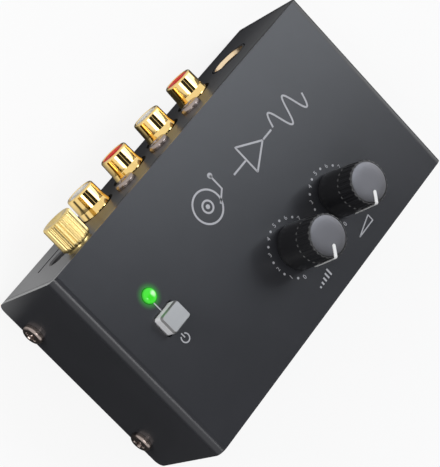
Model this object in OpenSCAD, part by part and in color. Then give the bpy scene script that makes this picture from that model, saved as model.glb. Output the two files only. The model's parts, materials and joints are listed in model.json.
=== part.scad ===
// Phono preamplifier: a folded steel case in two shells, a main board that carries every jack,
// two potentiometers, a latching push switch and a pilot lamp, and a grounding post at the rear.
//
// Millimetres. +Z is up, the jacks face +Y and the controls are on the top.
// The origin is in the middle of the outline, on the surface that the feet stand on.
// Inside the in_case() frame, z = 0 is the underside of the case and y = 0 its middle.

/* [Case] */
// Width of the case, left to right
case_w = 106; // [100:1:140]
// Depth of the case, front to rear
case_d = 58; // [56:1:80]
// Height of the case without its feet
case_h = 31; // [30:1:42]
// Thickness of the folded steel sheet
sheet = 1.2; // [0.8:0.1:1.6]
// Outside radius of every bend
bend_r = 2.3; // [1.8:0.1:4]
// Gap left at each seam between cover and chassis
seam = 0.15; // [0.05:0.05:0.3]

/* [Feet] */
// Radius of a rubber foot
foot_r = 4; // [3:0.5:6]
// Height of a rubber foot
foot_h = 2; // [1:0.5:4]
// Distance of a foot's axis from the two nearest case edges
foot_inset = 9; // [7:1:14]

/* [Screws] */
// Shank radius of every case and panel screw
screw_r = 1.5; // [1.25:0.05:1.5]
// Head radius of every case and panel screw
head_r = 2.9; // [2.5:0.1:3.2]
// Head height of every case and panel screw
head_h = 1.5; // [1.2:0.1:2]
// Length of a side screw under its head
side_screw_len = 4; // [3:0.5:5]
// Height of the side screws above the underside of the case
side_screw_z = 4; // [4:0.1:4.6]
// Distance of the front side screw from the front panel
side_screw_front = 9.2; // [8:0.1:14]
// Distance of the rear side screw from the rear panel
side_screw_rear = 10.4; // [8:0.1:14]
// Width of the chassis tab that a side screw goes into
tab_w = 10; // [8:0.5:14]
// Height of that tab
tab_h = 8; // [7:0.5:12]

/* [Main board] */
// Thickness of the main board
board_t = 1.6; // [1:0.2:2]
// Height of the standoffs under the board
board_lift = 5.5; // [5:0.5:7]
// Gap between the board's ends and the case's side walls
board_end_gap = 2.8; // [2:0.1:5]
// Gap between the board and the front panel
board_front_gap = 1.8; // [1:0.1:4]
// Gap between the board and the rear panel
board_rear_gap = 0.5; // [0.3:0.1:1.5]
// Width of a hexagonal standoff across its flats
standoff_flats = 5.5; // [5:0.1:6]
// Gap between the tip of a side screw and the standoff behind it
standoff_gap = 0.6; // [0.3:0.1:1.5]
// Distance of the front board screws from the front panel
board_screw_front = 6.3; // [5.5:0.1:8]
// Distance between the front and rear board screws
board_screw_pitch = 30.5; // [24:0.5:34]

/* [Signal jacks] */
// Distance between neighbouring signal jacks
rca_pitch = 14.2; // [13.6:0.1:15]
// Middle of the row of signal jacks, from the middle of the case
rca_row_x = -1.5; // [-2:0.1:-1]
// Height of the jack axes above the board
rca_lift = 6.1; // [5.8:0.1:7]
// Radius of the gold barrel
rca_r = 4.15; // [4:0.05:4.3]
// Wall of the gold barrel
rca_wall = 0.65; // [0.5:0.05:0.9]
// How far the barrel stands out of the rear panel
rca_reach = 6.3; // [5:0.1:8]
// Radius of the socket in the centre contact
rca_contact_r = 1.62; // [1.6:0.01:1.7]
// Radius of the panel hole round a barrel
rca_hole_r = 5.4; // [4.8:0.1:5.8]
// Height of the panel screws above the board
panel_screw_lift = 13.6; // [13:0.1:15]

/* [Phone jack] */
// Distance of the phone jack's axis from the right side of the case
phone_x_inset = 18.25; // [17.7:0.05:19]
// Height of its axis above the board
phone_lift = 7.6; // [7:0.1:9]
// Radius of the 6.35 mm plug's bore
phone_bore_r = 3.2; // [3.19:0.01:3.25]
// Radius of the metal mouth in the rear panel
phone_mouth_r = 5.35; // [4.8:0.05:5.6]
// Radius of the panel hole round the mouth
phone_hole_r = 5.75; // [5.65:0.05:6]

/* [Power socket] */
// Distance of the power socket's axis from the left side of the case
dc_x_inset = 13.2; // [12.5:0.1:14]
// Height of its axis above the board
dc_lift = 8.6; // [7:0.1:9]
// Width of the socket's body
dc_w = 8.8; // [8:0.1:9.2]
// Radius of the hole that takes the plug
dc_hole_r = 3.1; // [2.8:0.05:3.3]
// Radius of the centre pin
dc_pin_r = 1.05; // [0.8:0.05:1.3]

/* [Grounding post] */
// Distance of the post's axis from the left side of the case
post_x_inset = 14.4; // [13.8:0.1:15]
// Distance of the post's axis below the top of the case
post_drop = 4.5; // [4.4:0.1:5]
// Radius of the post's stud
post_stud_r = 1.5; // [1.4:0.05:1.6]
// Radius of the knurled thumb nut
nut_r = 4.15; // [3.6:0.05:4.3]
// Length of the thumb nut
nut_len = 7.7; // [6:0.1:10]
// Number of knurls round the thumb nut
nut_knurls = 24; // [20:1:48]
// Thickness of the washer under the thumb nut
post_washer_t = 0.55; // [0.4:0.05:1]

/* [Knobs] */
// Distance between the two knob axes
knob_pitch = 19.4; // [16:0.1:24]
// Axis of the left knob, from the middle of the case
level_x = 1; // [0:0.1:2]
// Distance of the knob axes from the front panel
knob_front = 17.05; // [15:0.05:20]
// Gap between a knob and the top of the case
knob_lift = 1.4; // [0.6:0.1:3]
// Height of a knob
knob_h = 13.7; // [11:0.1:16]
// Radius of a knob at its lower edge
knob_r = 6.1; // [6:0.1:7.5]
// Radius of a knob where its flutes begin
knob_waist_r = 5.9; // [5.6:0.05:6.4]
// Radius of a knob at its top
knob_top_r = 5.65; // [5.2:0.05:5.9]
// Height at which the flutes begin, above the knob's lower edge
flute_start = 8.9; // [7:0.1:10]
// Number of flutes round a knob, the blank one at the pointer included
flutes = 24; // [18:1:30]
// Radius of the cutter that makes a flute
flute_r = 0.5; // [0.3:0.05:0.6]
// Radius of the metal disc set into a knob's top
disc_r = 5.15; // [4.5:0.05:5.2]
// Width of the pointer on a knob's top
pointer_w = 0.9; // [0.6:0.1:1.2]

/* [Potentiometers] */
// Radius of the shaft
shaft_r = 3; // [2.8:0.1:3.1]
// Running clearance between shaft and bushing
shaft_clear = 0.05; // [0.02:0.01:0.1]
// Radius of the bushing
bushing_r = 3.5; // [3.4:0.1:4]
// Height of the bushing above the potentiometer's body
bushing_h = 6; // [4:0.5:7]
// Width of the potentiometer's body
pot_w = 10; // [9.5:0.1:11]
// Depth of the potentiometer's body
pot_d = 11; // [10.5:0.1:12]
// Height of the potentiometer's body
pot_h = 12; // [10:0.5:13]
// Angle of the pointer at the zero mark, from +X
dial_zero = -119; // [-150:1:-90]

/* [Push switch] */
// Distance of the button's axis from the left side of the case
switch_x_inset = 15.45; // [15:0.05:18]
// Distance of the button's axis in front of or behind the middle of the case
switch_y = 1.75; // [1:0.05:2.5]
// Width of the button cap, left to right
cap_w = 6.7; // [6:0.1:8]
// Depth of the button cap, front to rear
cap_d = 5.4; // [5:0.1:7]
// How far the released cap stands above the case
cap_reach = 2.9; // [2.4:0.1:4]
// How far the cap travels when it is pressed
cap_travel = 2.2; // [1.5:0.1:2.4]
// Clearance round the cap in the cover
cap_clear = 0.35; // [0.3:0.05:0.6]

/* [Pilot lamp] */
// Distance of the lamp's axis from the left side of the case
lamp_x_inset = 15.7; // [15:0.1:17]
// Place of the lamp's axis behind the middle of the case
lamp_y = 9.2; // [8.8:0.1:10]
// Radius of the lamp's lens
lamp_r = 2; // [1.5:0.1:2.5]
// Height of the lens above the case
lamp_reach = 1.2; // [0.8:0.1:1.6]

/* [Hidden] */
$fn = 64;
eps = 0.01;

// Outline and panels
front_y = -case_d / 2;
rear_y = case_d / 2;
left_x = -case_w / 2;
right_x = case_w / 2;
rear_in = rear_y - sheet;
chassis_w = case_w - 2 * (sheet + seam);
chassis_h = case_h - sheet - seam;
play = 0.02;
post_reach = post_washer_t + nut_len + 2 * play;
rear_reach = max(post_reach, rca_reach);

// Main board
board_z = sheet + board_lift;
board_top = board_z + board_t;
board_w = case_w - 2 * (sheet + board_end_gap);
board_front_y = front_y + sheet + board_front_gap;
board_rear_y = rear_in - board_rear_gap;
standoff_r = standoff_flats / sqrt(3);
board_screw_y = front_y + sheet + board_screw_front;

// Jacks
rca_z = board_top + rca_lift;
panel_screw_z = board_top + panel_screw_lift;
phone_x = right_x - phone_x_inset;
phone_z = board_top + phone_lift;
dc_x = left_x + dc_x_inset;
dc_z = board_top + dc_lift;
post_x = left_x + post_x_inset;
post_z = case_h - post_drop;

// Controls
knob_y = front_y + knob_front;
volume_x = level_x + knob_pitch;
knob_z = case_h + knob_lift;
pot_top = board_top + pot_h;
switch_x = left_x + switch_x_inset;
lamp_x = left_x + lamp_x_inset;

// Board screws: the front pair clears the tips of the side screws, and the rear pair stands
// midway between the phone jack's body and the end of the board
phone_w = 15.4;
board_head_r = 2.5;
board_screw_x = [
    case_w / 2 - side_screw_len - standoff_gap - standoff_r,
    (phone_x + phone_w / 2 + board_w / 2) / 2
];

// Moves its children from the case's frame to the object's frame
module in_case() {
    translate([0, -rear_reach / 2, foot_h]) children();
}

// Turns its children's +Z to the rear, out of the rear panel, at a place (x, z) and depth y
module to_rear(x, z, y) {
    translate([x, y, z]) rotate([-90, 0, 0]) children();
}

// Turns its children's +Z out of the left (-1) or right (+1) side wall
module to_side(side, y, z) {
    translate([side * case_w / 2, y, z]) rotate([0, side * 90, 0]) children();
}

// Flat outline, width w from its middle and height h, with its two lower corners rounded
module tray_outline(w, h, r) {
    translate([-w / 2 + r, 0]) square([w - 2 * r, h]);
    translate([-w / 2, r]) square([w, h - r]);
    for (side = [-1, 1]) translate([side * (w / 2 - r), r]) circle(r);
}

// Cross-section of a sheet folded to a U, closed side down
module folded_u(w, h) {
    difference() {
        tray_outline(w, h, bend_r);
        translate([0, sheet]) tray_outline(w - 2 * sheet, h, bend_r - sheet);
    }
}

// Rectangle with rounded corners, from its middle
module rounded_rect(w, d, r) {
    square([w - 2 * r, d], center = true);
    square([w, d - 2 * r], center = true);
    for (i = [-1, 1], j = [-1, 1]) translate([i * (w / 2 - r), j * (d / 2 - r)]) circle(r);
}

// Pan-head screw: head above z = 0, shank below it, and a cross recess
module pan_screw(r, len, head = head_r) {
    round = head - 2.2;
    recess = 2.6;
    slot = 0.6;
    difference() {
        union() {
            rotate_extrude() {
                square([head, head_h - round]);
                square([head - round, head_h]);
                translate([head - round, head_h - round]) intersection() {
                    circle(round);
                    square(round);
                }
            }
            translate([0, 0, -len]) cylinder(r = r, h = len + eps);
        }
        for (turn = [0, 90]) rotate(turn)
            translate([-recess / 2, -slot / 2, head_h - 1]) cube([recess, slot, 2]);
        translate([0, 0, head_h - 1.2]) cylinder(r1 = 0.4, r2 = 0.9, h = 1.2 + eps);
    }
}

// Places of the four side screws and of the tabs behind them
module at_side_screws() {
    for (side = [-1, 1], y = [front_y + side_screw_front, rear_y - side_screw_rear])
        to_side(side, y, side_screw_z) children();
}

// Places of the four board screws, at the top of the board
module at_board_screws() {
    for (side = [-1, 1], row = [0, 1])
        translate([side * board_screw_x[row], board_screw_y + row * board_screw_pitch, board_top])
            children();
}

// Axes of the signal jacks, on the outside of the rear panel, numbered from the left
function rca_x(i) = rca_row_x + (i - 2.5) * rca_pitch;
module at_rca(i) {
    to_rear(rca_x(i), rca_z, rear_y) children();
}

// Axes of the three panel screws, between the signal jacks
module at_panel_screws() {
    for (i = [1:3]) to_rear((rca_x(i) + rca_x(i + 1)) / 2, panel_screw_z, rear_y) children();
}

// ---- Case ----

// Cover: top and both side walls in one folded sheet
module cover() {
    side_hole_r = screw_r + 0.15;
    shaft_hole_r = shaft_r + 1;
    color("#3b3c41") in_case() difference() {
        intersection() {
            rotate([90, 0, 0]) linear_extrude(case_d, center = true)
                translate([0, case_h]) mirror([0, 1]) folded_u(case_w, case_h);
            rotate([90, 0, 90]) linear_extrude(case_w + 2, center = true)
                tray_outline(case_d, case_h + 1, bend_r);
        }
        at_side_screws() translate([0, 0, -sheet - 1]) cylinder(r = side_hole_r, h = sheet + 2);
        for (x = [level_x, volume_x])
            translate([x, knob_y, case_h - sheet - 1]) cylinder(r = shaft_hole_r, h = sheet + 2);
        translate([switch_x, switch_y, case_h - sheet - 1]) linear_extrude(sheet + 2)
            rounded_rect(cap_w + 2 * cap_clear, cap_d + 2 * cap_clear, 1);
        translate([lamp_x, lamp_y, case_h - sheet - 1]) cylinder(r = lamp_r + 0.1, h = sheet + 2);
    }
}

// Tab folded up from the chassis floor to take a side screw, on the right side
module side_tab() {
    intersection() {
        translate([chassis_w / 2 - bend_r - 0.2, -tab_w / 2, 0]) cube([bend_r + 0.2, tab_w, tab_h]);
        rotate([90, 0, 0]) linear_extrude(tab_w + 2, center = true) folded_u(chassis_w, tab_h);
    }
}

// Chassis: floor, front panel and rear panel in one folded sheet, with four tabs. The panels'
// upper corners are rounded to pass inside the cover's bends
module chassis() {
    relief = 0.8;
    color("#33343a") in_case() difference() {
        union() {
            difference() {
                intersection() {
                    rotate([90, 0, 90]) linear_extrude(chassis_w, center = true)
                        folded_u(case_d, chassis_h);
                    rotate([90, 0, 0]) linear_extrude(case_d + 2, center = true)
                        translate([0, chassis_h]) mirror([0, 1])
                            tray_outline(chassis_w, chassis_h + 1, bend_r - sheet - seam);
                }
                for (side = [-1, 1], y = [front_y + side_screw_front, rear_y - side_screw_rear])
                    translate([side * chassis_w / 2 - bend_r, y - tab_w / 2 - relief, -1])
                        cube([2 * bend_r, tab_w + 2 * relief, sheet + 2]);
            }
            for (side = [0, 1], y = [front_y + side_screw_front, rear_y - side_screw_rear])
                translate([0, y, 0]) mirror([side, 0, 0]) side_tab();
        }
        at_side_screws() translate([0, 0, -2 * sheet - 2 * seam - 1])
            cylinder(r = screw_r + 0.03, h = 2 * sheet + 2);
        at_board_screws() translate([0, 0, -board_top - 1]) cylinder(r = 1.6, h = sheet + 2);
        for (i = [1:4]) at_rca(i) translate([0, 0, -sheet - 1]) cylinder(r = rca_hole_r, h = sheet + 2);
        at_panel_screws() translate([0, 0, -sheet - 1]) cylinder(r = screw_r + 0.15, h = sheet + 2);
        to_rear(phone_x, phone_z, rear_y - sheet - 1) cylinder(r = phone_hole_r, h = sheet + 2);
        to_rear(dc_x, dc_nose_z, rear_y) linear_extrude(4 * sheet, center = true)
            rounded_rect(dc_w + 0.3, dc_nose_h + 0.8, 0.6);
        to_rear(post_x, post_z, rear_y - sheet - 1) cylinder(r = post_stud_r + 0.05, h = sheet + 2);
    }
}

// Machine screws that hold the cover's side walls to the chassis tabs
module side_screws() {
    color("#6d655c") in_case() at_side_screws() pan_screw(screw_r, side_screw_len);
}

// Round rubber feet with a chamfered lower edge
module rubber_feet() {
    chamfer = 0.4;
    color("#1b1b1d") in_case() for (i = [-1, 1], j = [-1, 1])
        translate([i * (case_w / 2 - foot_inset), j * (case_d / 2 - foot_inset), -foot_h])
            rotate_extrude() polygon([
                [0, 0], [foot_r - chamfer, 0], [foot_r, chamfer], [foot_r, foot_h], [0, foot_h]
            ]);
}

// ---- Main board and what stands on it ----

lead_r = 0.4;
lead_gap = 0.1;
lead_tail = 0.9;

// One straight lead through the board at (x, y), from a height above the board down to its tail
module lead(x, y, up, extra = 0) {
    translate([x, y, board_z - lead_tail]) cylinder(r = lead_r + extra, h = board_t + lead_tail + up);
}

// Depth of the jacks behind the rear panel, and where each leaves the board free
housing_depth = 10.5;
housing_front_y = rear_in - housing_depth;
phone_body_d = 23;
phone_front_y = rear_in - phone_body_d;
pot_front_y = knob_y - pot_d / 2;
pot_rear_y = knob_y + pot_d / 2;

// Op-amp packages: places of their middles, long side along Y
op_amp_x = level_x - 15;
op_amp_at = [[op_amp_x, pot_rear_y + 9.5], [level_x - 3, pot_rear_y + 9.5], [op_amp_x, knob_y + 1]];
op_amp_w = 6.4;
op_amp_l = 9.6;
module op_amp_leads(extra = 0) {
    row = 7.62;
    step = 2.54;
    for (p = op_amp_at, side = [-1, 1], i = [-1.5:1.5])
        lead(p[0] + side * row / 2, p[1] + i * step, 1.2, extra);
}

// Electrolytic capacitors: x, y, radius and height
filter_cap_x = right_x - 11.5;
filter_cap_at = [
    [filter_cap_x, phone_front_y - 5.8, 5, 16], [filter_cap_x, phone_front_y - 16.8, 5, 16],
    [filter_cap_x - 8.8, pot_front_y - 4.2, 4, 11.5], [filter_cap_x - 9.2, pot_rear_y + 4.6, 4, 11.5],
    [lamp_x + 12.3, lamp_y + 1.8, 3.15, 11], [lamp_x + 12.3, lamp_y - 6.2, 3.15, 11],
    [level_x + 7, pot_rear_y + 11, 3.15, 11], [level_x + 15, pot_rear_y + 11, 3.15, 11]
];
module filter_cap_leads(extra = 0) {
    for (c = filter_cap_at, side = [-1, 1]) lead(c[0] + side * c[2] * 0.5, c[1], 0.5, extra);
}

// Film capacitors: places of their middles, long side along X
film_cap_at = [
    for (row = [0:2]) [switch_x + 12.55, switch_y - 5.75 - 5 * row],
    for (side = [-1, 1]) [rca_row_x + side * 4.7, housing_front_y - 4.4]
];
film_cap_w = 7.2;
module film_cap_leads(extra = 0) {
    for (p = film_cap_at, side = [-1, 1]) lead(p[0] + side * 2.5, p[1], 0.5, extra);
}

// Resistors: places of their middles, body along X
resistor_pitch = 10.16;
resistor_at = [
    for (row = [0, 1]) each [
        [op_amp_x, board_front_y + 2.5 + 3.5 * row],
        [op_amp_x - 12, board_front_y + 2.5 + 3.5 * row],
        [phone_x - phone_w / 2 - resistor_pitch / 2 - 2, housing_front_y - 7.3 + 3.5 * row],
        [switch_x, switch_y - 9.75 - 3.5 * row]
    ],
    [level_x - 1, board_front_y + 4], [level_x + 12, board_front_y + 4]
];
module resistor_leads(extra = 0) {
    for (p = resistor_at, side = [-1, 1]) lead(p[0] + side * resistor_pitch / 2, p[1], 1.4, extra);
}

// Rectifier diodes: places of their middles, body along Y
diode_at = [[lamp_x + 5.8, lamp_y - 1.2], [switch_x + 2, board_front_y + 7.2]];
diode_pitch = 10.16;
module diode_leads(extra = 0) {
    for (p = diode_at, side = [-1, 1]) lead(p[0], p[1] + side * diode_pitch / 2, 1.6, extra);
}

// Voltage regulator with an upright metal tab
regulator_x = volume_x - 1.5;
regulator_y = pot_rear_y + 4.4;
module regulator_leads(extra = 0) {
    for (i = [-1:1]) lead(regulator_x + i * 2.54, regulator_y, 4, extra);
}

// Solder tails of the signal jacks, the phone jack, the power socket, the switch and the lamp
rca_tail_y = housing_front_y - 1.2;
module rca_leads(extra = 0) {
    for (i = [1:4]) lead(rca_x(i), rca_tail_y, 1, extra);
}
phone_spring_y = [rear_in - 6.5, rear_in - 12, rear_in - 17.5];
phone_tail_x = phone_x - 6.4;
module phone_leads(extra = 0) {
    for (y = phone_spring_y) lead(phone_tail_x, y, 3.6, extra);
}
dc_depth = 14.4;
dc_h = 13.2;
dc_nose_h = 10.6;
dc_nose_z = board_top + dc_h - dc_nose_h / 2;
dc_pin_tail_y = rear_y - dc_depth - 1;
dc_spring_tail_x = dc_x + 3.7;
dc_spring_y = rear_y - 8;
module dc_pin_lead(extra = 0) {
    lead(dc_x, dc_pin_tail_y, dc_lift, extra);
}
module dc_spring_lead(extra = 0) {
    lead(dc_spring_tail_x, dc_spring_y, 4.6, extra);
}
module switch_leads(extra = 0) {
    for (i = [-1, 1], j = [-1:1]) lead(switch_x + i * 2.25, switch_y + j * 2.5, 0.5, extra);
}
lamp_lead_x = 1.27;
module lamp_tails(up, extra = 0) {
    for (side = [-1, 1]) lead(lamp_x + side * lamp_lead_x, lamp_y, up, extra);
}
module pot_leads(x, extra = 0) {
    for (i = [-1:1], row = [0, 1]) lead(x + i * 2.5, knob_y - 2 - row * 2.5, 0.5, extra);
}

// Where the wire from the grounding post goes through the board
ground_wire_x = dc_x + dc_w / 2 + 2.8;
ground_wire_y = rear_in - 2.4;
ground_wire_r = 0.6;

// Main board with its mounting holes and one hole for every lead
module main_board() {
    clear = lead_gap;
    color("#1f5a3a") in_case() difference() {
        translate([-board_w / 2, board_front_y, board_z])
            cube([board_w, board_rear_y - board_front_y, board_t]);
        at_board_screws() translate([0, 0, -board_t - 1]) cylinder(r = 1.6, h = board_t + 2);
        op_amp_leads(clear);
        filter_cap_leads(clear);
        film_cap_leads(clear);
        resistor_leads(clear);
        diode_leads(clear);
        regulator_leads(clear);
        rca_leads(clear);
        phone_leads(clear);
        dc_pin_lead(clear);
        dc_spring_lead(clear);
        switch_leads(clear);
        lamp_tails(1, clear);
        pot_leads(level_x, clear);
        pot_leads(volume_x, clear);
        lead(ground_wire_x, ground_wire_y, 1, ground_wire_r - lead_r + clear);
    }
}

// Hexagonal standoffs between the chassis floor and the board, each with a threaded stub below
module board_standoffs() {
    color("#c9a951") in_case() at_board_screws() difference() {
        union() {
            translate([0, 0, -board_t - board_lift]) cylinder(r = standoff_r, h = board_lift, $fn = 6);
            translate([0, 0, -board_top + 0.2]) cylinder(r = 1.5, h = sheet);
        }
        translate([0, 0, -board_t - board_lift + 1]) cylinder(r = 1.3, h = board_lift);
    }
}

// Screws that hold the board down on its standoffs
module board_screws() {
    color("#b9bcc0") in_case() at_board_screws() pan_screw(1.25, board_t + 3.5, board_head_r);
}

// ---- Signal jacks ----

boss_face = -0.8;
barrel_back = -6;
barrel_step = 0.3;
insulator_face = rca_reach - 0.8;
insulator_back = -5;
contact_face = insulator_face - 1.6;
insulator_r = rca_r - rca_wall - 0.05;
contact_wall = 0.55;
contact_stem_r = 0.8;

// Moulded housing behind the rear panel: an arch round each jack and a pillar for each screw
module rca_housing() {
    arch_r = 6.6;
    pillar_w = 6.2;
    boss_r = rca_hole_r - 0.15;
    width = 3 * rca_pitch + 2 * (arch_r + 0.2);
    color("#17171a") in_case() difference() {
        union() {
            translate([rca_row_x - width / 2, housing_front_y, board_top])
                cube([width, housing_depth, rca_lift]);
            for (i = [1:4]) {
                to_rear(rca_x(i), rca_z, housing_front_y) cylinder(r = arch_r, h = housing_depth);
                at_rca(i) translate([0, 0, -sheet - eps]) cylinder(r = boss_r, h = sheet + boss_face + eps);
            }
            for (i = [1:3]) {
                x = (rca_x(i) + rca_x(i + 1)) / 2;
                translate([x - pillar_w / 2, housing_front_y, board_top])
                    cube([pillar_w, housing_depth, panel_screw_lift]);
                to_rear(x, panel_screw_z, housing_front_y)
                    cylinder(r = pillar_w / 2, h = housing_depth);
            }
        }
        for (i = [1:4]) at_rca(i) {
            translate([0, 0, -sheet - housing_depth + 2])
                cylinder(r = rca_r - barrel_step + 0.05, h = sheet + housing_depth);
            translate([0, 0, -sheet - housing_depth - 1]) cylinder(r = contact_stem_r + 0.05, h = 4);
        }
        at_panel_screws() translate([0, 0, -8 - sheet]) cylinder(r = screw_r - 0.12, h = 8 + 2 * eps);
        translate([rca_row_x - width, rear_in - 2 * housing_depth, board_z])
            cube([2 * width, 3 * housing_depth, board_t]);
    }
}

// Gold barrel: a tube with a rounded rim, and a collar that seats on the housing's boss
module rca_barrel(i) {
    rim = 0.5;
    collar_start = boss_face + 0.05;
    collar_end = 1.2;
    groove = 0.4;
    inner = rca_r - rca_wall;
    color("#d9ad4c") in_case() at_rca(i) difference() {
        rotate_extrude() {
            translate([inner, barrel_back])
                square([rca_wall - barrel_step, rca_reach - rim - barrel_back]);
            translate([inner, collar_start]) square([rca_wall, collar_end - collar_start]);
            translate([inner, collar_end + groove])
                square([rca_wall, rca_reach - rim - collar_end - groove]);
            translate([inner, rca_reach - rim - eps]) square([rca_wall - rim, rim + eps]);
            translate([rca_r - rim, rca_reach - rim]) intersection() {
                circle(rim);
                translate([-rim, 0]) square([2 * rim, rim]);
            }
        }
        translate([0, 0, rca_reach - 0.4]) cylinder(r1 = inner, r2 = inner + 0.4, h = 0.4 + eps);
    }
}

// Coloured insulator inside a barrel, with a dished face round the socket
module rca_insulator(i) {
    mouth_r = rca_contact_r + 0.13;
    dish = 0.5;
    shade = i % 2 == 1 ? "#f2efe8" : "#c4201f";
    color(shade) in_case() at_rca(i) rotate_extrude() polygon([
        [mouth_r, insulator_face - dish], [mouth_r + dish, insulator_face],
        [insulator_r, insulator_face], [insulator_r, insulator_back],
        [rca_contact_r + contact_wall + 0.05, insulator_back],
        [rca_contact_r + contact_wall + 0.05, contact_face + 0.05], [mouth_r, contact_face + 0.05]
    ]);
}

// Centre contact: a blind gold sleeve that takes the plug's pin, with a stem and a solder tail
module rca_contact(i) {
    stem_end = rca_tail_y - rear_y - lead_r;
    color("#d9ad4c") in_case() {
        difference() {
            at_rca(i) {
                translate([0, 0, insulator_back - 1.5])
                    cylinder(r = rca_contact_r + contact_wall, h = contact_face - insulator_back + 1.5);
                translate([0, 0, stem_end]) cylinder(r = contact_stem_r, h = -stem_end - 5);
            }
            at_rca(i) translate([0, 0, contact_face - 8]) cylinder(r = rca_contact_r, h = 8 + eps);
        }
        lead(rca_x(i), rca_tail_y, rca_lift);
    }
}

// Screws through the rear panel into the housing's pillars
module panel_screws() {
    color("#46434a") in_case() at_panel_screws() pan_screw(screw_r - 0.15, 8);
}

// ---- Phone jack ----

phone_body_h = 14.8;
phone_bush_len = 4.4;
phone_flange = 1;
phone_spring_slot = 3;

// Moulded body of the phone jack: a block with the plug's bore, a spring slot at each contact
module phone_jack_body() {
    low = board_top;
    color("#141416") in_case() difference() {
        union() {
            translate([phone_x - phone_w / 2, phone_front_y, low])
                cube([phone_w, phone_body_d, phone_body_h]);
            to_rear(phone_x, phone_z, rear_in - 1)
                cylinder(r = phone_mouth_r, h = 1 + sheet - phone_flange - play);
        }
        to_rear(phone_x, phone_z, phone_front_y + 2)
            cylinder(r = phone_bore_r, h = phone_body_d + 2);
        to_rear(phone_x, phone_z, rear_y - phone_bush_len - 0.05)
            cylinder(r = phone_mouth_r - 0.75, h = phone_bush_len + 1);
        for (y = phone_spring_y) translate([phone_x - 8, y - phone_spring_slot / 2, board_top + 3])
            cube([8 - phone_bore_r + 0.6, phone_spring_slot, phone_body_h - 6]);
        phone_leads(lead_gap);
    }
}

// Metal mouth of the phone jack, coned to guide the plug in
module phone_jack_mouth() {
    wall = phone_mouth_r - 0.8;
    lip = 0.35;
    cone = 1;
    color("#b79a62") in_case() to_rear(phone_x, phone_z, rear_y - phone_bush_len)
        rotate_extrude() polygon([
            [phone_bore_r, 0], [wall, 0], [wall, phone_bush_len - phone_flange],
            [phone_mouth_r, phone_bush_len - phone_flange], [phone_mouth_r, phone_bush_len],
            [phone_mouth_r - lip, phone_bush_len], [phone_bore_r, phone_bush_len - cone]
        ]);
}

// Flat metal strip bent along a path, drawn from its edge
module strip_path(path, t) {
    for (i = [0:len(path) - 2]) {
        run = path[i + 1] - path[i];
        translate(path[i]) rotate(atan2(run[1], run[0])) translate([0, -t / 2]) square([norm(run), t]);
    }
    for (point = path) translate(point) circle(t / 2);
}

// Contact springs of the phone jack, each with a crest at the bore and a tail through the board
module phone_jack_springs() {
    strip = 0.4;
    width = 2.2;
    crest = phone_x - phone_bore_r - 0.1 - strip / 2;
    color("#c8c9cc") in_case() {
        for (y = phone_spring_y) translate([0, y + width / 2, 0]) rotate([90, 0, 0])
            linear_extrude(width) strip_path([
                [phone_tail_x, board_top + 3.4], [phone_tail_x, phone_z + 3.4],
                [phone_tail_x + 1, phone_z + 3.6], [crest, phone_z], [crest - 0.9, phone_z - 2]
            ], strip);
        phone_leads();
    }
}

// ---- Power socket ----

dc_hole_depth = 9.5;
dc_slot_w = 3;
dc_stem_r = dc_pin_r + 0.25;

// Moulded body of the power socket, its face flush with the rear panel
module dc_socket_body() {
    color("#2a2a2d") in_case() difference() {
        union() {
            to_rear(dc_x, board_top + dc_h / 2, rear_y - dc_depth) linear_extrude(dc_depth - sheet - play)
                rounded_rect(dc_w, dc_h, 0.4);
            to_rear(dc_x, dc_nose_z, rear_y - 4) linear_extrude(4 - 0.1) rounded_rect(dc_w, dc_nose_h, 0.4);
        }
        to_rear(dc_x, dc_z, rear_y - dc_hole_depth) cylinder(r = dc_hole_r, h = dc_hole_depth + 1);
        to_rear(dc_x, dc_z, rear_y - 0.5) cylinder(r1 = dc_hole_r, r2 = dc_hole_r + 0.6, h = 0.6);
        to_rear(dc_x, dc_z, rear_y - dc_depth - 1) cylinder(r = dc_stem_r + 0.03, h = dc_depth);
        translate([dc_x, dc_spring_y - dc_slot_w / 2, dc_z - 4.2]) cube([dc_w, dc_slot_w, 8.4]);
        dc_spring_lead(lead_gap);
    }
}

// Centre pin of the power socket, round-nosed, on a thicker stem that ends in its solder tail
module dc_socket_pin() {
    tip = 0.7;
    back = dc_pin_tail_y - rear_y - lead_r;
    color("#c4c6c8") in_case() {
        to_rear(dc_x, dc_z, rear_y) {
            translate([0, 0, back]) cylinder(r = dc_stem_r, h = -back - dc_hole_depth);
            translate([0, 0, -dc_hole_depth - eps])
                cylinder(r = dc_pin_r, h = dc_hole_depth + eps - tip - dc_pin_r);
            translate([0, 0, -tip - dc_pin_r]) sphere(dc_pin_r);
        }
        dc_pin_lead();
    }
}

// Side spring of the power socket, which presses on the plug's sleeve
module dc_socket_spring() {
    strip = 0.4;
    width = 2.2;
    crest = dc_x + dc_hole_r + 0.1 + strip / 2;
    color("#c8c9cc") in_case() {
        translate([0, dc_spring_y + width / 2, 0]) rotate([90, 0, 0]) linear_extrude(width) strip_path([
            [dc_spring_tail_x, dc_z - 4], [dc_spring_tail_x, dc_z - 2.6], [crest, dc_z],
            [dc_spring_tail_x, dc_z + 2.6], [dc_spring_tail_x, dc_z + 3.8]
        ], strip);
        dc_spring_lead();
    }
}

// ---- Grounding post ----

bolt_head_flats = 5.5;
bolt_head_h = 2;
lug_t = 0.8;
lug_reach = ground_wire_x - post_x;

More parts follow.
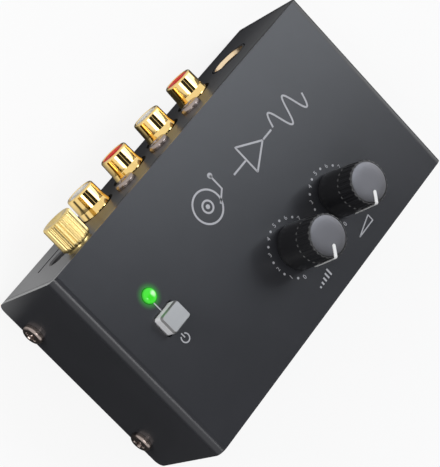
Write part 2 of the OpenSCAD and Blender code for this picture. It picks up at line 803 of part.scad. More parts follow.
// Hexagon bolt whose shank stands out of the rear panel as the post's stud
module ground_bolt() {
    end_chamfer = 0.4;
    shank = sheet + lug_t + post_reach - 0.8;
    color("#b9bcc0") in_case() to_rear(post_x, post_z, rear_in - lug_t) {
        translate([0, 0, -bolt_head_h])
            cylinder(r = bolt_head_flats / sqrt(3), h = bolt_head_h, $fn = 6);
        translate([0, 0, -eps]) cylinder(r = post_stud_r, h = shank - end_chamfer + eps);
        translate([0, 0, shank - end_chamfer])
            cylinder(r1 = post_stud_r, r2 = post_stud_r - end_chamfer, h = end_chamfer);
    }
}

// Solder lug clamped between the bolt's head and the panel, reaching sideways to the wire
module ground_lug() {
    ring_r = 2.9;
    tongue = 2.4;
    color("#d6d0b8") in_case() to_rear(post_x, post_z, rear_in - lug_t) linear_extrude(lug_t) difference() {
        union() {
            circle(ring_r);
            translate([0, -tongue / 2]) square([lug_reach + 1.4, tongue]);
        }
        circle(post_stud_r + 0.05);
        translate([lug_reach, 0]) circle(ground_wire_r + 0.05);
    }
}

// Wire from the lug down to the board, bent once behind the lug
module ground_wire() {
    bend = 1.8;
    y_end = rear_in - 0.15;
    drop = post_z - bend;
    color("#2b8a3e") in_case() translate([ground_wire_x, 0, 0]) {
        to_rear(0, post_z, ground_wire_y + bend)
            cylinder(r = ground_wire_r, h = y_end - ground_wire_y - bend);
        translate([0, ground_wire_y + bend, drop]) rotate([90, 0, -90])
            rotate_extrude(angle = 90) translate([bend, 0]) circle(ground_wire_r);
        translate([0, ground_wire_y, board_z - lead_tail])
            cylinder(r = ground_wire_r, h = drop - board_z + lead_tail + eps);
    }
}

// Plain washer under the thumb nut
module ground_washer() {
    color("#cfcab0") in_case() to_rear(post_x, post_z, rear_y + play) difference() {
        cylinder(r = nut_r - 0.65, h = post_washer_t);
        translate([0, 0, -1]) cylinder(r = post_stud_r + 0.05, h = post_washer_t + 2);
    }
}

// Thumb nut: straight knurls between two chamfered ends, a running bore on the stud
module ground_nut() {
    tooth = 0.28;
    chamfer = 0.55;
    step = 180 / nut_knurls;
    color("#e2c879") in_case() to_rear(post_x, post_z, rear_y + post_washer_t + 2 * play) difference() {
        intersection() {
            linear_extrude(nut_len) polygon([
                for (k = [0:2 * nut_knurls - 1]) let (r = nut_r - (k % 2) * tooth)
                    [r * cos(k * step), r * sin(k * step)]
            ]);
            rotate_extrude() polygon([
                [0, 0], [nut_r - chamfer, 0], [nut_r + eps, chamfer + eps],
                [nut_r + eps, nut_len - chamfer - eps], [nut_r - chamfer, nut_len], [0, nut_len]
            ]);
        }
        translate([0, 0, -1]) cylinder(r = post_stud_r + 0.05, h = nut_len + 2);
        translate([0, 0, nut_len - 0.6]) cylinder(r1 = post_stud_r, r2 = post_stud_r + 0.7, h = 0.61);
    }
}

// ---- Potentiometers ----

rotor_cavity_h = 3;
rotor_r = 3.8;

// Moulded body of a two-gang potentiometer: a groove between the gangs, the solder tails, and
// the chamber that the rotor turns in
module pot_body(x) {
    groove = 0.4;
    color("#3b2f2a") in_case() {
        difference() {
            translate([x - pot_w / 2, knob_y - pot_d / 2, board_top]) cube([pot_w, pot_d, pot_h]);
            translate([x, knob_y, pot_top - rotor_cavity_h])
                cylinder(r = rotor_r + 0.4, h = rotor_cavity_h + 1);
            difference() {
                translate([x - pot_w, knob_y - pot_d, board_top + pot_h / 2])
                    cube([2 * pot_w, 2 * pot_d, groove]);
                translate([x - pot_w / 2 + groove, knob_y - pot_d / 2 + groove, board_top])
                    cube([pot_w - 2 * groove, pot_d - 2 * groove, pot_h]);
            }
        }
        pot_leads(x);
    }
}

// Metal bushing on its plate, a running fit for the shaft
module pot_bushing(x) {
    plate = 1;
    color("#a8abb0") in_case() difference() {
        union() {
            translate([x - pot_w / 2, knob_y - pot_d / 2, pot_top]) cube([pot_w, pot_d, plate]);
            translate([x, knob_y, pot_top]) cylinder(r = bushing_r, h = bushing_h);
        }
        translate([x, knob_y, pot_top - 1]) cylinder(r = shaft_r + shaft_clear, h = bushing_h + 2);
    }
}

// Two-dimensional D: a circle of radius r cut flat
module d_section(r) {
    flat = r / 2;
    intersection() {
        circle(r);
        translate([-r - 1, -r - 1]) square([r + 1 + flat, 2 * r + 2]);
    }
}

shaft_top = knob_z + knob_h - 2.6;
rotor_z = pot_top - rotor_cavity_h + 0.3;
rotor_h = 2.3;

// Shaft: a spigot in the rotor, a round length through the bushing, and a D inside the knob
module pot_shaft(x) {
    spigot_r = shaft_r / 2;
    round_h = knob_z - rotor_z - rotor_h - play;
    color("#c4c6c8") in_case() translate([x, knob_y, 0]) rotate(dial_zero) {
        translate([0, 0, rotor_z]) cylinder(r = spigot_r, h = pot_top - rotor_z);
        translate([0, 0, rotor_z + rotor_h + play]) cylinder(r = shaft_r, h = round_h);
        translate([0, 0, knob_z]) linear_extrude(shaft_top - knob_z) d_section(shaft_r);
    }
}

// Rotor under the shaft, with a hub and two contact fingers that sweep the track
module pot_rotor(x) {
    finger_w = 0.8;
    color("#d9d4c4") in_case() translate([x, knob_y, rotor_z]) rotate(dial_zero) difference() {
        union() {
            cylinder(r = rotor_r, h = rotor_h - 0.6);
            cylinder(r = rotor_r - 1, h = rotor_h);
            for (side = [-1, 1]) translate([1.8, side * 1.4 - finger_w / 2, -0.2]) cube([1.6, finger_w, 1]);
        }
        translate([0, 0, -1]) cylinder(r = shaft_r / 2 + 0.03, h = rotor_h + 2);
    }
}

// ---- Knobs ----

knob_edge = 0.4;
flute_depth = 0.3;
disc_t = 0.6;
pointer_in = 2.3;
pointer_side_w = 0.45;
pointer_side_from = 4.3;
pointer_t = 0.4;
pointer_proud = 0.03;

// Frame of a knob: its axis, its lower edge, and +X along its pointer
module on_knob(x) {
    translate([x, knob_y, knob_z]) rotate(dial_zero) children();
}

// Solid of revolution of a knob's outside, grown outwards by a distance
module knob_outside(grow = 0) {
    round_at = [knob_top_r - knob_edge, knob_h - knob_edge];
    rotate_extrude() {
        polygon([
            [0, 0], [knob_r + grow, 0], [knob_waist_r + grow, flute_start],
            [knob_top_r + grow, round_at[1]], [round_at[0], knob_h + grow], [0, knob_h + grow]
        ]);
        translate(round_at) intersection() {
            circle(knob_edge + grow);
            square(2 * knob_edge);
        }
    }
}

// Space of the pointer: a bar across the top's edge and a thin line down the side
module pointer_space(gap) {
    depth = pointer_t + gap;
    top_w = pointer_w + 2 * gap;
    side_w = pointer_side_w + 2 * gap;
    translate([pointer_in - gap, -top_w / 2, knob_h - depth]) cube([knob_r, top_w, depth + 1]);
    difference() {
        translate([knob_top_r - 1, -side_w / 2, pointer_side_from - gap])
            cube([3, side_w, knob_h - pointer_side_from]);
        rotate_extrude() polygon([
            [0, 0], [knob_r - depth, 0], [knob_waist_r - depth, flute_start],
            [knob_top_r - depth, knob_h + 1], [0, knob_h + 1]
        ]);
    }
}

// Knob: smooth skirt, fluted grip, hollow underside, D-shaped hub and a recess for the disc
module knob(x) {
    taper = atan((knob_waist_r - knob_top_r) / (knob_h - flute_start));
    hub_r = shaft_r + 1.2;
    wall = 1.1;
    hollow_h = 7.5;
    color("#16171a") in_case() on_knob(x) difference() {
        knob_outside();
        for (k = [1:flutes - 1]) rotate(k * 360 / flutes)
            translate([knob_waist_r + flute_r - flute_depth, 0, flute_start]) rotate([0, -taper, 0])
                cylinder(r = flute_r, h = knob_h);
        translate([0, 0, -1]) linear_extrude(shaft_top - knob_z + 1.1) d_section(shaft_r + 0.06);
        translate([0, 0, -1]) cylinder(r = shaft_r + 0.06, h = 1 + eps);
        translate([0, 0, -eps]) difference() {
            cylinder(r1 = knob_r - wall, r2 = knob_waist_r - wall, h = hollow_h);
            cylinder(r = hub_r, h = hollow_h);
        }
        translate([0, 0, knob_h - disc_t]) cylinder(r = disc_r + 0.03, h = disc_t + 1);
        pointer_space(0.02);
    }
}

// Metal disc in the knob's top, spun to a shallow dish and notched for the pointer
module knob_disc(x) {
    dish = 0.25;
    dish_r = (disc_r * disc_r + dish * dish) / (2 * dish);
    half = asin(disc_r / dish_r);
    steps = 8;
    color("#77757b") in_case() on_knob(x) difference() {
        translate([0, 0, knob_h - disc_t]) rotate_extrude() polygon([
            [0, 0], [disc_r, 0],
            for (k = [steps:-1:0]) let (turn = half * k / steps)
                [dish_r * sin(turn), disc_t - dish + dish_r * (1 - cos(turn))]
        ]);
        pointer_space(0.02);
    }
}

// Pointer: white insert over the edge of the knob and down its side
module pointer(x) {
    color("#f4f4f4") in_case() on_knob(x) intersection() {
        knob_outside(pointer_proud);
        pointer_space(0);
    }
}

// ---- Push switch ----

switch_w = 8.5;
switch_h = 8.5;
plunger_w = 3.3;
plunger_rest = board_top + 3.4;
cap_low = board_top + switch_h + cap_travel + 0.6;
cap_socket = 4;

// Body of the latching switch, with the well that its plunger slides in and its solder tails
module switch_body() {
    well = plunger_w + 0.6;
    well_floor = 0.8;
    color("#1c1c1f") in_case() {
        difference() {
            translate([switch_x - switch_w / 2, switch_y - switch_w / 2, board_top])
                cube([switch_w, switch_w, switch_h]);
            translate([switch_x - well / 2, switch_y - well / 2, board_top + well_floor])
                cube([well, well, switch_h]);
        }
        switch_leads();
    }
}

// Plunger of the switch, from the well up into the cap
module switch_plunger() {
    color("#e9e5da") in_case() translate([switch_x - plunger_w / 2, switch_y - plunger_w / 2, plunger_rest])
        cube([plunger_w, plunger_w, cap_low + cap_socket - 0.1 - plunger_rest]);
}

// Square-cut outline with its two upper corners cut off at 45 degrees
module chamfered_side(w, h, cut) {
    polygon([
        [-w / 2, 0], [w / 2, 0], [w / 2, h - cut], [w / 2 - cut, h], [-w / 2 + cut, h], [-w / 2, h - cut]
    ]);
}

// Button cap: rounded upright edges, a chamfer round the top, a socket for the plunger below
module power_cap() {
    upright_r = 0.8;
    chamfer = 0.45;
    h = case_h + cap_reach - cap_low;
    socket_w = plunger_w + 0.06;
    color("#c9cacc") in_case() translate([switch_x, switch_y, cap_low]) difference() {
        intersection() {
            linear_extrude(h) rounded_rect(cap_w, cap_d, upright_r);
            rotate([90, 0, 0]) linear_extrude(2 * cap_d, center = true) chamfered_side(cap_w, h, chamfer);
            rotate([90, 0, 90]) linear_extrude(2 * cap_w, center = true) chamfered_side(cap_d, h, chamfer);
        }
        translate([-socket_w / 2, -socket_w / 2, -1]) cube([socket_w, socket_w, cap_socket + 1]);
    }
}

// ---- Pilot lamp ----

lamp_base = case_h - sheet - 4.6;
lamp_flange_h = 1;

// Lamp: a flanged cylinder with a low dome
module pilot_lamp() {
    dome = 1;
    dome_r = (lamp_r * lamp_r + dome * dome) / (2 * dome);
    top = case_h + lamp_reach;
    color("#3ce128") in_case() translate([lamp_x, lamp_y, 0]) {
        translate([0, 0, lamp_base]) cylinder(r = lamp_r + 0.4, h = lamp_flange_h);
        translate([0, 0, lamp_base]) cylinder(r = lamp_r, h = top - dome - lamp_base);
        intersection() {
            translate([0, 0, top - dome - eps]) cylinder(r = lamp_r, h = 2);
            translate([0, 0, top - dome_r]) sphere(dome_r);
        }
    }
}

// The lamp's two wires, from its base down through the board
module lamp_leads() {
    color("#c8c9cc") in_case() lamp_tails(lamp_base - board_top);
}

// Spacer that holds the lamp up against the cover, with a bore for each wire
module lamp_spacer() {
    color("#1d1d20") in_case() difference() {
        translate([lamp_x, lamp_y, board_top]) cylinder(r = lamp_r + 0.5, h = lamp_base - board_top);
        lamp_tails(lamp_base - board_top + 1, lead_gap);
    }
}

// ---- Small parts on the board ----

// Dual in-line amplifier packages with an index notch
module op_amps() {
    body_h = 3.3;
    body_lift = 0.6;
    color("#1a1a1c") in_case() {
        for (p = op_amp_at) translate([p[0], p[1], board_top + body_lift]) difference() {
            translate([-op_amp_w / 2, -op_amp_l / 2, 0]) cube([op_amp_w, op_amp_l, body_h]);
            translate([0, op_amp_l / 2, body_h - 0.5]) cylinder(r = 0.8, h = 1);
        }
        for (p = op_amp_at, side = [-1, 1], i = [-1.5:1.5])
            translate([p[0] + side * op_amp_w / 2 - 0.8, p[1] + i * 2.54 - 0.25, board_top + 1.2])
                cube([1.6, 0.5, 0.6]);
        op_amp_leads();
    }
}

// Electrolytic capacitors: sleeve, crimp groove and scored top
module filter_capacitors() {
    color("#23262e") in_case() {
        for (c = filter_cap_at) translate([c[0], c[1], board_top]) difference() {
            rotate_extrude() difference() {
                polygon([
                    [0, 0.3], [c[2] - 0.3, 0.3], [c[2], 0.6],
                    [c[2], c[3] - 0.4], [c[2] - 0.4, c[3]], [0, c[3]]
                ]);
                translate([c[2] + 0.3, 1.8]) circle(0.6);
            }
            for (turn = [0, 90]) rotate(turn) translate([-c[2] * 0.7, -0.15, c[3] - 0.3])
                cube([c[2] * 1.4, 0.3, 1]);
        }
        filter_cap_leads();
    }
}

// Box film capacitors
module film_capacitors() {
    depth = 2.5;
    height = 6.5;
    color("#b5352b") in_case() {
        for (p = film_cap_at) translate([p[0], p[1], board_top]) linear_extrude(height)
            rounded_rect(film_cap_w, depth, 0.3);
        film_cap_leads();
    }
}

// Axial resistors: dog-bone body between two bent leads
module resistors() {
    body_l = 6.3;
    body_r = 0.95;
    end_r = 1.15;
    end_l = 1.4;
    height = board_top + 1.5;
    color("#d8c49a") in_case() {
        for (p = resistor_at) translate([p[0], p[1], height]) rotate([0, 90, 0]) {
            cylinder(r = body_r, h = body_l, center = true);
            for (side = [-1, 1]) translate([0, 0, side * (body_l - end_l) / 2])
                cylinder(r = end_r, h = end_l, center = true);
            cylinder(r = lead_r - 0.05, h = resistor_pitch, center = true);
        }
        resistor_leads();
    }
}

// Three-legged regulator with an upright metal tab
module voltage_regulator() {
    body_w = 10;
    body_t = 3.2;
    tab_t = 1.3;
    low = board_top + 3.5;
    color("#222225") in_case() {
        translate([regulator_x - body_w / 2, regulator_y - body_t / 2, low]) cube([body_w, body_t, 8.5]);
        difference() {
            translate([regulator_x - body_w / 2, regulator_y + body_t / 2 - tab_t, low])
                cube([body_w, tab_t, 15]);
            to_rear(regulator_x, low + 11.8, regulator_y) cylinder(r = 1.8, h = body_t);
        }
        regulator_leads();
    }
}

// Rectifier diodes: round body between two bent leads
module diodes() {
    body_l = 5;
    body_r = 1.3;
    color("#202022") in_case() {
        for (p = diode_at) translate([p[0], p[1], board_top + 1.6]) rotate([90, 0, 0]) {
            cylinder(r = body_r, h = body_l, center = true);
            cylinder(r = lead_r - 0.05, h = diode_pitch, center = true);
        }
        diode_leads();
    }
}

cover();
chassis();
side_screws();
rubber_feet();
main_board();
board_standoffs();
board_screws();
rca_housing();
rca_barrel(1);  // rca_barrel_1
rca_barrel(2);  // rca_barrel_2
rca_barrel(3);  // rca_barrel_3
rca_barrel(4);  // rca_barrel_4
rca_insulator(1);  // rca_insulator_1
rca_insulator(2);  // rca_insulator_2
rca_insulator(3);  // rca_insulator_3
rca_insulator(4);  // rca_insulator_4
rca_contact(1);  // rca_contact_1
rca_contact(2);  // rca_contact_2
rca_contact(3);  // rca_contact_3
rca_contact(4);  // rca_contact_4
panel_screws();
phone_jack_body();
phone_jack_mouth();
phone_jack_springs();
dc_socket_body();
dc_socket_pin();
dc_socket_spring();
ground_bolt();
ground_lug();
ground_wire();
ground_washer();
ground_nut();
pot_body(level_x);  // level_pot_body
pot_bushing(level_x);  // level_bushing
pot_shaft(level_x);  // level_shaft
pot_rotor(level_x);  // level_rotor
knob(level_x);  // level_knob
knob_disc(level_x);  // level_knob_disc
pointer(level_x);  // level_pointer
pot_body(volume_x);  // volume_pot_body
pot_bushing(volume_x);  // volume_bushing
pot_shaft(volume_x);  // volume_shaft
pot_rotor(volume_x);  // volume_rotor
knob(volume_x);  // volume_knob
knob_disc(volume_x);  // volume_knob_disc
pointer(volume_x);  // volume_pointer
switch_body();
switch_plunger();
power_cap();
pilot_lamp();
lamp_leads();
lamp_spacer();
op_amps();
filter_capacitors();
film_capacitors();
resistors();
voltage_regulator();
diodes();
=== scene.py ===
# %% [markdown]
# # A small phono preamplifier
# The construction model already holds every piece at its real size: case, jacks, knobs, board.
# Here it gets its looks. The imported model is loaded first, as a frame that nothing may move,
# and each later cell adds one finish or one finely shaped piece to it.

# %% Load the frame
import json
import math

import bmesh
import bpy
import numpy as np
from mathutils import Matrix, Vector


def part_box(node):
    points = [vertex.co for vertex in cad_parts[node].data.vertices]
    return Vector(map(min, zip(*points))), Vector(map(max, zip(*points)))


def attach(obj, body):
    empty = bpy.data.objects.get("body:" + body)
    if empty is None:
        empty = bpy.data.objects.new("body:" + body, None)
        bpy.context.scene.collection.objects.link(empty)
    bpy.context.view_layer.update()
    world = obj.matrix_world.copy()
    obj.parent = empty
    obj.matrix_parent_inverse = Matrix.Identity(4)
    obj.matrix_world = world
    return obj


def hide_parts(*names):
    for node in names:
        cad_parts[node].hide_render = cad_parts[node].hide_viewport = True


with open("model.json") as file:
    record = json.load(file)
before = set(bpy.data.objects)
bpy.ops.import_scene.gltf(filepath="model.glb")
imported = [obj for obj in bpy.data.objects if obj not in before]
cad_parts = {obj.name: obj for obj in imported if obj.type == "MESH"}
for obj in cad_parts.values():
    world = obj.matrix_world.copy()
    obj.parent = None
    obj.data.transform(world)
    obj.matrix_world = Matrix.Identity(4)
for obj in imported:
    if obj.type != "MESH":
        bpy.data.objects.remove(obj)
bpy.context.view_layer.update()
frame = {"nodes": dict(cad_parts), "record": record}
print("nodes in the frame:", len(frame["nodes"]))

# %% [markdown]
# ## The case's own frame
# Every place is easiest to give from the middle of the case's underside, in millimetres, as on a
# drawing of the case. One helper turns such a place into metres in the frame of the whole object.

# %% Measure the case
MM = 0.001
cover_low, cover_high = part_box("cover")
case_middle = Vector(((cover_low.x + cover_high.x) / 2, (cover_low.y + cover_high.y) / 2, cover_low.z))
case_w, case_d, case_h = (cover_high - cover_low) / MM
print(f"case {case_w:.1f} x {case_d:.1f} x {case_h:.1f} mm")


def spot(x, y, z):
    """Place in metres: the case's middle plus (x, y, z) millimetres."""
    return case_middle + Vector((x, y, z)) * MM


# %% Measure a node
def size_of(node):
    """Size of a node's box, in mm."""
    low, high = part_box(node)
    return (high - low) / MM


def middle_of(node):
    """Middle of a node's box: half the sum of its lowest and highest corner."""
    low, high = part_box(node)
    return (low + high) / 2


def foot_of(node):
    """Middle of the lowest face of a node's box."""
    middle = middle_of(node)
    return Vector((middle.x, middle.y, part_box(node)[0].z))


def on_rear(node):
    """Point of the rear panel's outer face that lies straight behind the middle of a node."""
    middle = middle_of(node)
    return Vector((middle.x, cover_high.y, middle.z))


print("cover's foot:", tuple(foot_of("cover")))

# %% [markdown]
# ## Camera
# The view looks down on the top from beyond the left rear corner, through a long lens, and is
# rolled so that the case lies on a slant. A camera is a place and three directions, so the
# directions go straight into its matrix: right, up, and backwards along the line of sight.

# %% Make the camera
FRAME_HEIGHT = 467
FOCAL_PIXELS = 1785.06
SENSOR = 36.0
camera_place = spot(-220.6, 104.4, 397.5)
camera_sight = Vector((0.48204, -0.22867, -0.84578))
camera_up = Vector((0.68177, 0.70421, 0.19817))

camera_data = bpy.data.cameras.new("camera")
camera_data.sensor_width = SENSOR
camera_data.lens = FOCAL_PIXELS / FRAME_HEIGHT * SENSOR
camera_data.clip_start = 0.01
camera_data.clip_end = 20
camera = bpy.data.objects.new("camera", camera_data)
bpy.context.scene.collection.objects.link(camera)
bpy.context.scene.camera = camera
camera_back = -camera_sight.normalized()
camera_right = camera_up.cross(camera_back).normalized()
turn = Matrix((camera_right, camera_back.cross(camera_right), camera_back)).transposed()
camera.matrix_world = Matrix.Translation(camera_place) @ turn.to_4x4()
print(f"lens {camera_data.lens:.1f} mm")

# %% [markdown]
# ## Node helpers
# Materials are networks of nodes. A few short functions keep a network readable as a formula: every
# value may be a number or the output of another node, so joining nodes needs no lines of its own.


# %% Node helpers
def feed(tree, value, target):
    """Joins a socket to an input, or sets a plain value on it."""
    if isinstance(value, bpy.types.NodeSocket):
        tree.links.new(value, target)
    else:
        target.default_value = value


def add(tree, kind, **inputs):
    """Adds a node. A name with a capital letter is an input, any other name is a setting."""
    made = tree.nodes.new(kind)
    for name, value in inputs.items():
        if name[0].isupper():
            feed(tree, value, made.inputs[name.replace("_", " ")])
        else:
            setattr(made, name, value)
    return made


def grey(value):
    """An opaque grey of one brightness."""
    return (value, value, value, 1.0)


# %% Nodes as formulas
def calculate(tree, operation, *values, clamp=False):
    """The result of one operation on numbers, with clamp held between 0 and 1."""
    made = add(tree, "ShaderNodeMath", operation=operation, use_clamp=clamp)
    for value, target in zip(values, made.inputs):
        feed(tree, value, target)
    return made.outputs[0]


def slope(tree, value, low, high, start=0.0, end=1.0, **settings):
    """Start where the value is low, end where it is high, in proportion between, and level beyond."""
    made = add(tree, "ShaderNodeMapRange", Value=value, From_Min=low, From_Max=high, To_Min=start,
               To_Max=end, **settings)
    return made.outputs["Result"]


def mixed(tree, share, one, other):
    """A colour: one where the share is 0, other where it is 1."""
    made = add(tree, "ShaderNodeMix", data_type="RGBA")
    for value, socket in zip((share, one, other), (0, 6, 7)):
        feed(tree, value, made.inputs[socket])
    return made.outputs[2]


def noise(tree, place, scale, detail, roughness=0.5):
    """Noise from 0 to 1, with scale cells in a metre of the place."""
    made = add(tree, "ShaderNodeTexNoise", Vector=place, Scale=scale, Detail=detail, Roughness=roughness)
    return made.outputs[0]


# %% Places as formulas
def place_on(tree):
    """The place on the piece, in metres."""
    return add(tree, "ShaderNodeTexCoord").outputs["Object"]


def axes_of(tree, vector):
    """The three numbers of a vector."""
    return add(tree, "ShaderNodeSeparateXYZ", Vector=vector).outputs


def vector_result(tree, operation, one, other=(0, 0, 0), output="Value"):
    """The result of one operation on two vectors."""
    made = add(tree, "ShaderNodeVectorMath", operation=operation, Vector=one)
    feed(tree, other, made.inputs[1])
    return made.outputs[output]


def shader_of(material):
    """The tree of a material, and its main shader."""
    return material.node_tree, material.node_tree.nodes["Principled BSDF"]


# %% [markdown]
# ## Shared effects
# Painted steel, moulded plastic and plated metal all show the same few things close up: a fine
# grain, a slow drift in tone, and edges that hands and handling have rubbed. Each is one node
# group, built once, and every material places it with its own scale and strength. All three read
# Object coordinates, so a pattern stays on its piece from every side.

# %% How a group is made
FLOAT = "NodeSocketFloat"
COLOUR = "NodeSocketColor"


def new_group(name, sockets_in, output, kind):
    """A node group with inputs (name, socket type, default) and one output. Returns its tree, the
    inputs as sockets to read, and the socket that the result goes to."""
    tree = bpy.data.node_groups.new(name, "ShaderNodeTree")
    for label, socket_type, value in sockets_in:
        tree.interface.new_socket(label, in_out="INPUT", socket_type=socket_type).default_value = value
    tree.interface.new_socket(output, in_out="OUTPUT", socket_type=kind)
    given = tree.nodes.new("NodeGroupInput").outputs
    result = tree.nodes.new("NodeGroupOutput").inputs[output]
    return tree, given, result


# %% Group: fine grain
def make_fine_grain():
    """Height = noise at Scale, plus a third of the noise three times finer."""
    tree, given, result = new_group("fine_grain", [("Scale", FLOAT, 3000.0)], "Height", FLOAT)
    place = place_on(tree)
    coarse = noise(tree, place, given["Scale"], 3.0, 0.6)
    fine = noise(tree, place, calculate(tree, "MULTIPLY", given["Scale"], 3.1), 1.0)
    feed(tree, calculate(tree, "MULTIPLY_ADD", fine, 0.33, coarse), result)
    return tree


fine_grain = make_fine_grain()
print("group:", fine_grain.name)


# %% Group: tone drift
def make_tone_drift():
    """Color slides from Dark to Light with slow noise."""
    tree, given, result = new_group(
        "tone_drift",
        [("Dark", COLOUR, grey(0.02)), ("Light", COLOUR, grey(0.05)), ("Scale", FLOAT, 40.0)],
        "Color", COLOUR,
    )
    share = slope(tree, noise(tree, place_on(tree), given["Scale"], 4.0, 0.55), 0.3, 0.7)
    feed(tree, mixed(tree, share, given["Dark"], given["Light"]), result)
    return tree


tone_drift = make_tone_drift()
print("group:", tone_drift.name)


# %% Group: rubbed edges
def make_edge_rub():
    """Color turns to Bare by Amount where a normal rounded over Width differs from the true one,
    broken up by noise."""
    tree, given, result = new_group(
        "edge_rub",
        [("Color", COLOUR, grey(0.02)), ("Bare", COLOUR, grey(0.3)), ("Amount", FLOAT, 0.5),
         ("Width", FLOAT, 0.0003)],
        "Color", COLOUR,
    )
    rounded = add(tree, "ShaderNodeBevel", samples=6, Radius=given["Width"]).outputs[0]
    true_normal = add(tree, "ShaderNodeNewGeometry").outputs["Normal"]
    near_edge = slope(tree, vector_result(tree, "DOT_PRODUCT", rounded, true_normal), 0.995, 0.85)
    patchy = slope(tree, noise(tree, place_on(tree), 900.0, 4.0, 0.7), 0.42, 0.62)
    mask = calculate(tree, "MULTIPLY", near_edge, patchy)
    share = calculate(tree, "MULTIPLY", mask, given["Amount"])
    feed(tree, mixed(tree, share, given["Color"], given["Bare"]), result)
    return tree


edge_rub = make_edge_rub()
print("group:", edge_rub.name)

# %% [markdown]
# ## One recipe for every finish
# Most finishes on this object are the same recipe with other numbers: two close tones that drift
# into each other, a grain that roughens and bumps the surface, and rubbed edges. The numbers are
# what tells powder coat from moulded plastic or plated metal, so they are the arguments.


# %% The finish recipe
def finish(name, dark, light, rough, metal=0.0, grain=3000.0, bump=0.05, spread=0.12, bare=None,
           rub=0.0, rub_width=0.0003, **shader_inputs):
    """Material: drift between dark and light, edges mixed to bare, roughness = rough + spread x grain."""
    material = bpy.data.materials.new(name)
    material.use_nodes = True
    tree, shader = shader_of(material)
    colour = add(tree, "ShaderNodeGroup", node_tree=tone_drift, Dark=(*dark, 1), Light=(*light, 1))
    if bare is not None:
        colour = add(tree, "ShaderNodeGroup", node_tree=edge_rub, Color=colour.outputs["Color"],
                     Bare=(*bare, 1), Amount=rub, Width=rub_width)
    height = add(tree, "ShaderNodeGroup", node_tree=fine_grain, Scale=grain).outputs["Height"]
    lift = add(tree, "ShaderNodeBump", Strength=bump, Distance=0.0001, Height=height)
    shader_inputs |= {
        "Metallic": metal,
        "Base_Color": colour.outputs["Color"],
        "Roughness": slope(tree, height, 0.0, 1.0, rough - spread / 2, rough + spread / 2),
        "Normal": lift.outputs["Normal"],
    }
    for label, value in shader_inputs.items():
        feed(tree, value, shader.inputs[label.replace("_", " ")])
    return material


# %% [markdown]
# ## Surfaces worked out on a grid
# Turned, fluted and moulded pieces are all grids of points: one direction runs along a profile,
# the other goes round. Working the whole grid out as one array is short and exact, and the same
# few lines then make a mesh of any of them. A grid either closes on itself, as a ring does, or its
# two ends are closed by a fan of triangles.


# %% Grid to faces
def shell_faces(grid, ring):
    """Points, quads and fans of a grid (rows, columns, 3). Quads join neighbours and wrap round the
    columns. A ring also joins its last row to its first; otherwise a fan closes each end. The faces
    are turned over where the volume, the sum of a . (b x c) over the triangles, is negative."""
    rows, columns = grid.shape[:2]
    number = np.arange(rows * columns).reshape(rows, columns)
    near = number if ring else number[:-1]
    far = np.roll(number, -1, axis=0) if ring else number[1:]
    quads = np.stack([near, np.roll(near, -1, 1), np.roll(far, -1, 1), far], axis=-1).reshape(-1, 4)
    points = grid.reshape(-1, 3)
    fans = np.zeros((0, 3), int)
    if not ring:
        points = np.vstack([points, grid[0].mean(0), grid[-1].mean(0)])
        start, end = np.full(columns, rows * columns), np.full(columns, rows * columns + 1)
        first, last = number[0], number[-1]
        fans = np.vstack([np.stack([np.roll(first, -1), first, start], 1),
                          np.stack([last, np.roll(last, -1), end], 1)])
    triangles = np.vstack([quads[:, [0, 1, 2]], quads[:, [0, 2, 3]], fans])
    a, b, c = points[triangles].transpose(1, 0, 2)
    if np.einsum("ij,ij->", a, np.cross(b, c)) < 0:
        quads, fans = quads[:, ::-1], fans[:, ::-1]
    return points, quads, fans


# %% Where a point lies on a turned piece
def round_and_along(grid, ring):
    """(cos, sin, length) for each point: its angle round the grid, and its way along the profile in mm."""
    rows, columns = grid.shape[:2]
    steps = np.linalg.norm(np.diff(grid, axis=0), axis=2).mean(1) / MM
    along = np.concatenate([[0.0], np.cumsum(steps)])
    turn = np.arange(columns) * 2 * np.pi / columns
    values = np.empty((rows, columns, 3))
    values[..., 0], values[..., 1], values[..., 2] = np.cos(turn), np.sin(turn), along[:, None]
    values = values.reshape(-1, 3)
    if not ring:
        values = np.vstack([values, (0, 0, along[0]), (0, 0, along[-1])])
    return values


# %% Grids to one piece
def make_piece(name, shells, body, slot, replaced=(), ring=False, smooth=32.0):
    """One object of one or more grids, smooth where faces meet at less than smooth degrees."""
    points, faces, turned_values = np.zeros((0, 3)), [], []
    for grid in shells:
        shell_points, quads, fans = shell_faces(grid, ring)
        faces += (quads + len(points)).tolist() + (fans + len(points)).tolist()
        points = np.vstack([points, shell_points])
        turned_values.append(round_and_along(grid, ring))
    mesh = bpy.data.meshes.new(name)
    mesh.from_pydata(points, [], faces)
    mesh.attributes.new("turned", "FLOAT_VECTOR", "POINT").data.foreach_set(
        "vector", np.vstack(turned_values).astype(np.float32).ravel()
    )
    return finish_piece(name, mesh, body, slot, replaced, smooth)


def finish_piece(name, mesh, body, slot, replaced=(), smooth=32.0):
    """Shades a mesh, gives it its slot's finish, and lets it ride on its body."""
    mesh.shade_smooth()
    mesh.set_sharp_from_angle(angle=math.radians(smooth))
    mesh.materials.append(finishes[slot])
    piece = bpy.data.objects.new(name, mesh)
    bpy.context.scene.collection.objects.link(piece)
    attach(piece, body)
    if replaced:
        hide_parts(*replaced)
    print(f"{name}: {len(mesh.polygons)} faces")
    return piece


# %% [markdown]
# ## Profiles and places
# A turned part is drawn as its maker draws it: a profile of radius against height, with rounded
# corners. The same local frame, with z along the axis, serves a jack in the rear panel, a screw in
# the side and a knob on the top; only the place and the direction of the axis differ.


# %% Profiles
def arc(middle_r, middle_z, radius, start, end, steps=6):
    """Points of a rounded corner: middle + radius x (cos, sin) from start to end, in degrees."""
    turn = np.radians(np.linspace(start, end, steps + 1))
    return np.stack([middle_r + radius * np.cos(turn), middle_z + radius * np.sin(turn)], 1)


